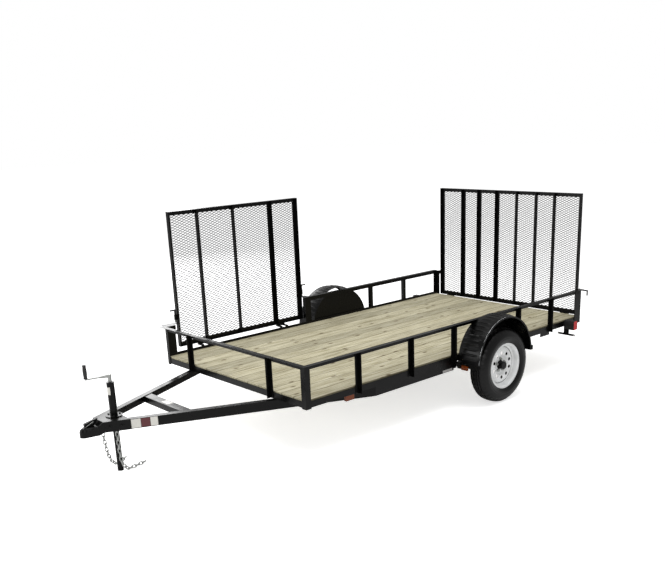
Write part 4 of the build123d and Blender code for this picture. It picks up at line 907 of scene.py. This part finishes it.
# Plate bar: a moulded white nylon bush sits in the hole at each end of the plate bar, ready for a
# number plate's screws, with the bar's black enamel left as a rim round it.
white_nylon, nylon_shader = new_material("moulded white nylon")
nylon_shader.inputs["Base Color"].default_value = linear("#e6e5e0")
nylon_shader.inputs["Roughness"].default_value = 0.45
plate_low, plate_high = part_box("plate_bracket")
screws = []
for screw_y in (plate_low[1] + 0.010, plate_high[1] - 0.010):
    screws.append(lathe((plate_low[0] - 0.003, screw_y, plate_low[2] + 0.010), (1, 0, 0), [
        (0, 0.0055), (0.002, 0.0065), (plate_high[0] - plate_low[0] + 0.004, 0.0065),
        (plate_high[0] - plate_low[0] + 0.006, 0.0055)], 16))
put("plate_screws", *gather(screws), white_nylon, "chassis", "white_paint")

# Jack crank: a pressed zinc knuckle is pinned over the screw and swallows the arm's root. The grip
# is a moulded barrel with a collar at each end that turns on its spindle.
arm_aim = Vector((cos(radians(-12)), sin(radians(-12)), 0))
arm_side = Vector((-arm_aim.y, arm_aim.x, 0))
knuckle = []
for step in range(16):
    turn = 2 * pi * step / 16
    rim_point = Vector((jack_middle[0] + 0.0150 * cos(turn), 0.0150 * sin(turn), 0))
    knuckle += [rim_point + Vector((0, 0, z)) for z in (0.7400, 0.7632)]
for across in (-0.0072, 0.0072):
    for z in (0.7438, 0.7582):
        knuckle.append(Vector((jack_middle[0], 0, z)) + arm_aim * 0.070 + arm_side * across)
put("crank_knuckle", *hull(knuckle), zinc_plate, "chassis", "zinc")
grip_low, grip_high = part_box("crank_grip")
grip_foot = ((grip_low[0] + grip_high[0]) / 2, (grip_low[1] + grip_high[1]) / 2, grip_low[2])
put("crank_barrel", *lathe(grip_foot, (0, 0, 1), [
    (0.0005, 0.0105), (0.0035, 0.0150), (0.008, 0.0150), (0.011, 0.0132), (0.040, 0.0152),
    (0.065, 0.0152), (0.092, 0.0128), (0.096, 0.0145), (0.102, 0.0140), (0.1048, 0.0100)], 28),
    moulded_black, "chassis", "black_plastic", smooth=True)

# Side gate pins: the drop pins are sprayed with the gate but have worn to bright steel where they
# slide, in the bare length between the rail and the guide.
pins_low, pins_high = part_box("side_gate_pins")
pin_y = (pins_low[1] + pins_high[1]) / 2
solids = [lathe((pin_x, pin_y, 0.7815), (0, 0, 1),
                [(0, 0.0062), (0.0015, 0.0077), (0.0180, 0.0077)], 20)
          for pin_x in (pins_low[0] + 0.050, pins_high[0] - 0.050)]
put("drop_pin_shanks", *gather(solids), zinc_plate, "side_gate", "zinc")

# Board stop: a steel flat welded upright on the right rail, from the front corner to the rear one,
# that the outer plank is butted against.
put("board_stop", *bar((deck_low[0], -0.9692, 0.4850), (deck_high[0], -0.9628, 0.5220)),
    black_enamel, "chassis", "black_paint")

# Blank labels: self-adhesive vinyl film with nothing printed on it. Three are on the left tongue
# member and one each on its rear end, on the brace and on the jack's tube.
label_film, film_shader = new_material("label film, white, blank")
film_place = add_node(label_film, "ShaderNodeTexCoord")
# road dust in drifts about 30 mm across
film_dust = add_node(label_film, "ShaderNodeTexNoise", (), {"Scale": 33.0, "Detail": 4.0},
                     [("Vector", film_place, "Object")])
film_colour = add_node(label_film, "ShaderNodeValToRGB", (), (), [("Fac", film_dust, "Fac")])
film_colour.color_ramp.elements[0].color = linear("#c9c7bf")
film_colour.color_ramp.elements[1].color = linear("#e6e4dd")
link(label_film, film_colour, "Color", film_shader, "Base Color")
film_shader.inputs["Roughness"].default_value = 0.4
red_film, red_film_shader = new_material("label film, dark red, blank")
red_film_shader.inputs["Base Color"].default_value = linear("#5a2226")
red_film_shader.inputs["Roughness"].default_value = 0.4
grey_film, grey_shader = new_material("label film, grey, blank")
grey_shader.inputs["Base Color"].default_value = linear("#9a9896")
grey_shader.inputs["Roughness"].default_value = 0.45
# the tongue's outer faces would meet this far ahead of the bed, at this slope
tongue_meet, face_slope = 1.354, 0.46631


def film_on_tongue(name, front, rear, bottom, top, material):
    """A flat film on the left tongue member's outer face, by distance ahead of the bed's front."""
    verts = []
    for ahead in (front, rear):
        for lift in (0.0003, 0.0009):
            for z in (bottom, top):
                verts.append((bed_front + ahead + lift * tongue_sine,
                              (tongue_meet - ahead) * face_slope + lift * tongue_cosine, z))
    faces = [(0, 1, 3, 2), (4, 6, 7, 5), (0, 4, 5, 1), (2, 3, 7, 6), (0, 2, 6, 4), (1, 5, 7, 3)]
    put(name, verts, faces, material, "chassis", None)


film_on_tongue("label_front", 1.015, 0.952, 0.363, 0.431, label_film)
film_on_tongue("label_middle", 0.949, 0.890, 0.364, 0.430, red_film)
film_on_tongue("label_rear", 0.887, 0.838, 0.363, 0.431, label_film)
put("label_brace", *bar((1.7705, -0.046, 0.4288), (1.8225, 0.052, 0.4298), soft=0.0003),
    label_film, "chassis", None)
put("label_tongue_end",
    *bar((bed_front - 1.672, 0.9708, 0.360), (bed_front - 1.545, 0.9716, 0.384)),
    grey_film, "chassis", None)
verts, faces = [], []
strips = 8
for step in range(strips + 1):
    bearing = radians(-6 + 58 * step / strips)
    for radius in (0.0287, 0.0292):
        for z in (0.610, 0.668):
            verts.append((jack_middle[0] + radius * cos(bearing), radius * sin(bearing), z))
for step in range(strips):
    here, there = step * 4, (step + 1) * 4
    faces += [(here, there, there + 1, here + 1), (here + 2, here + 3, there + 3, there + 2),
              (here, here + 2, there + 2, there), (here + 1, there + 1, there + 3, here + 3)]
last = strips * 4
faces += [(0, 1, 3, 2), (last, last + 2, last + 3, last + 1)]
put("label_jack", verts, faces, label_film, "chassis", None)
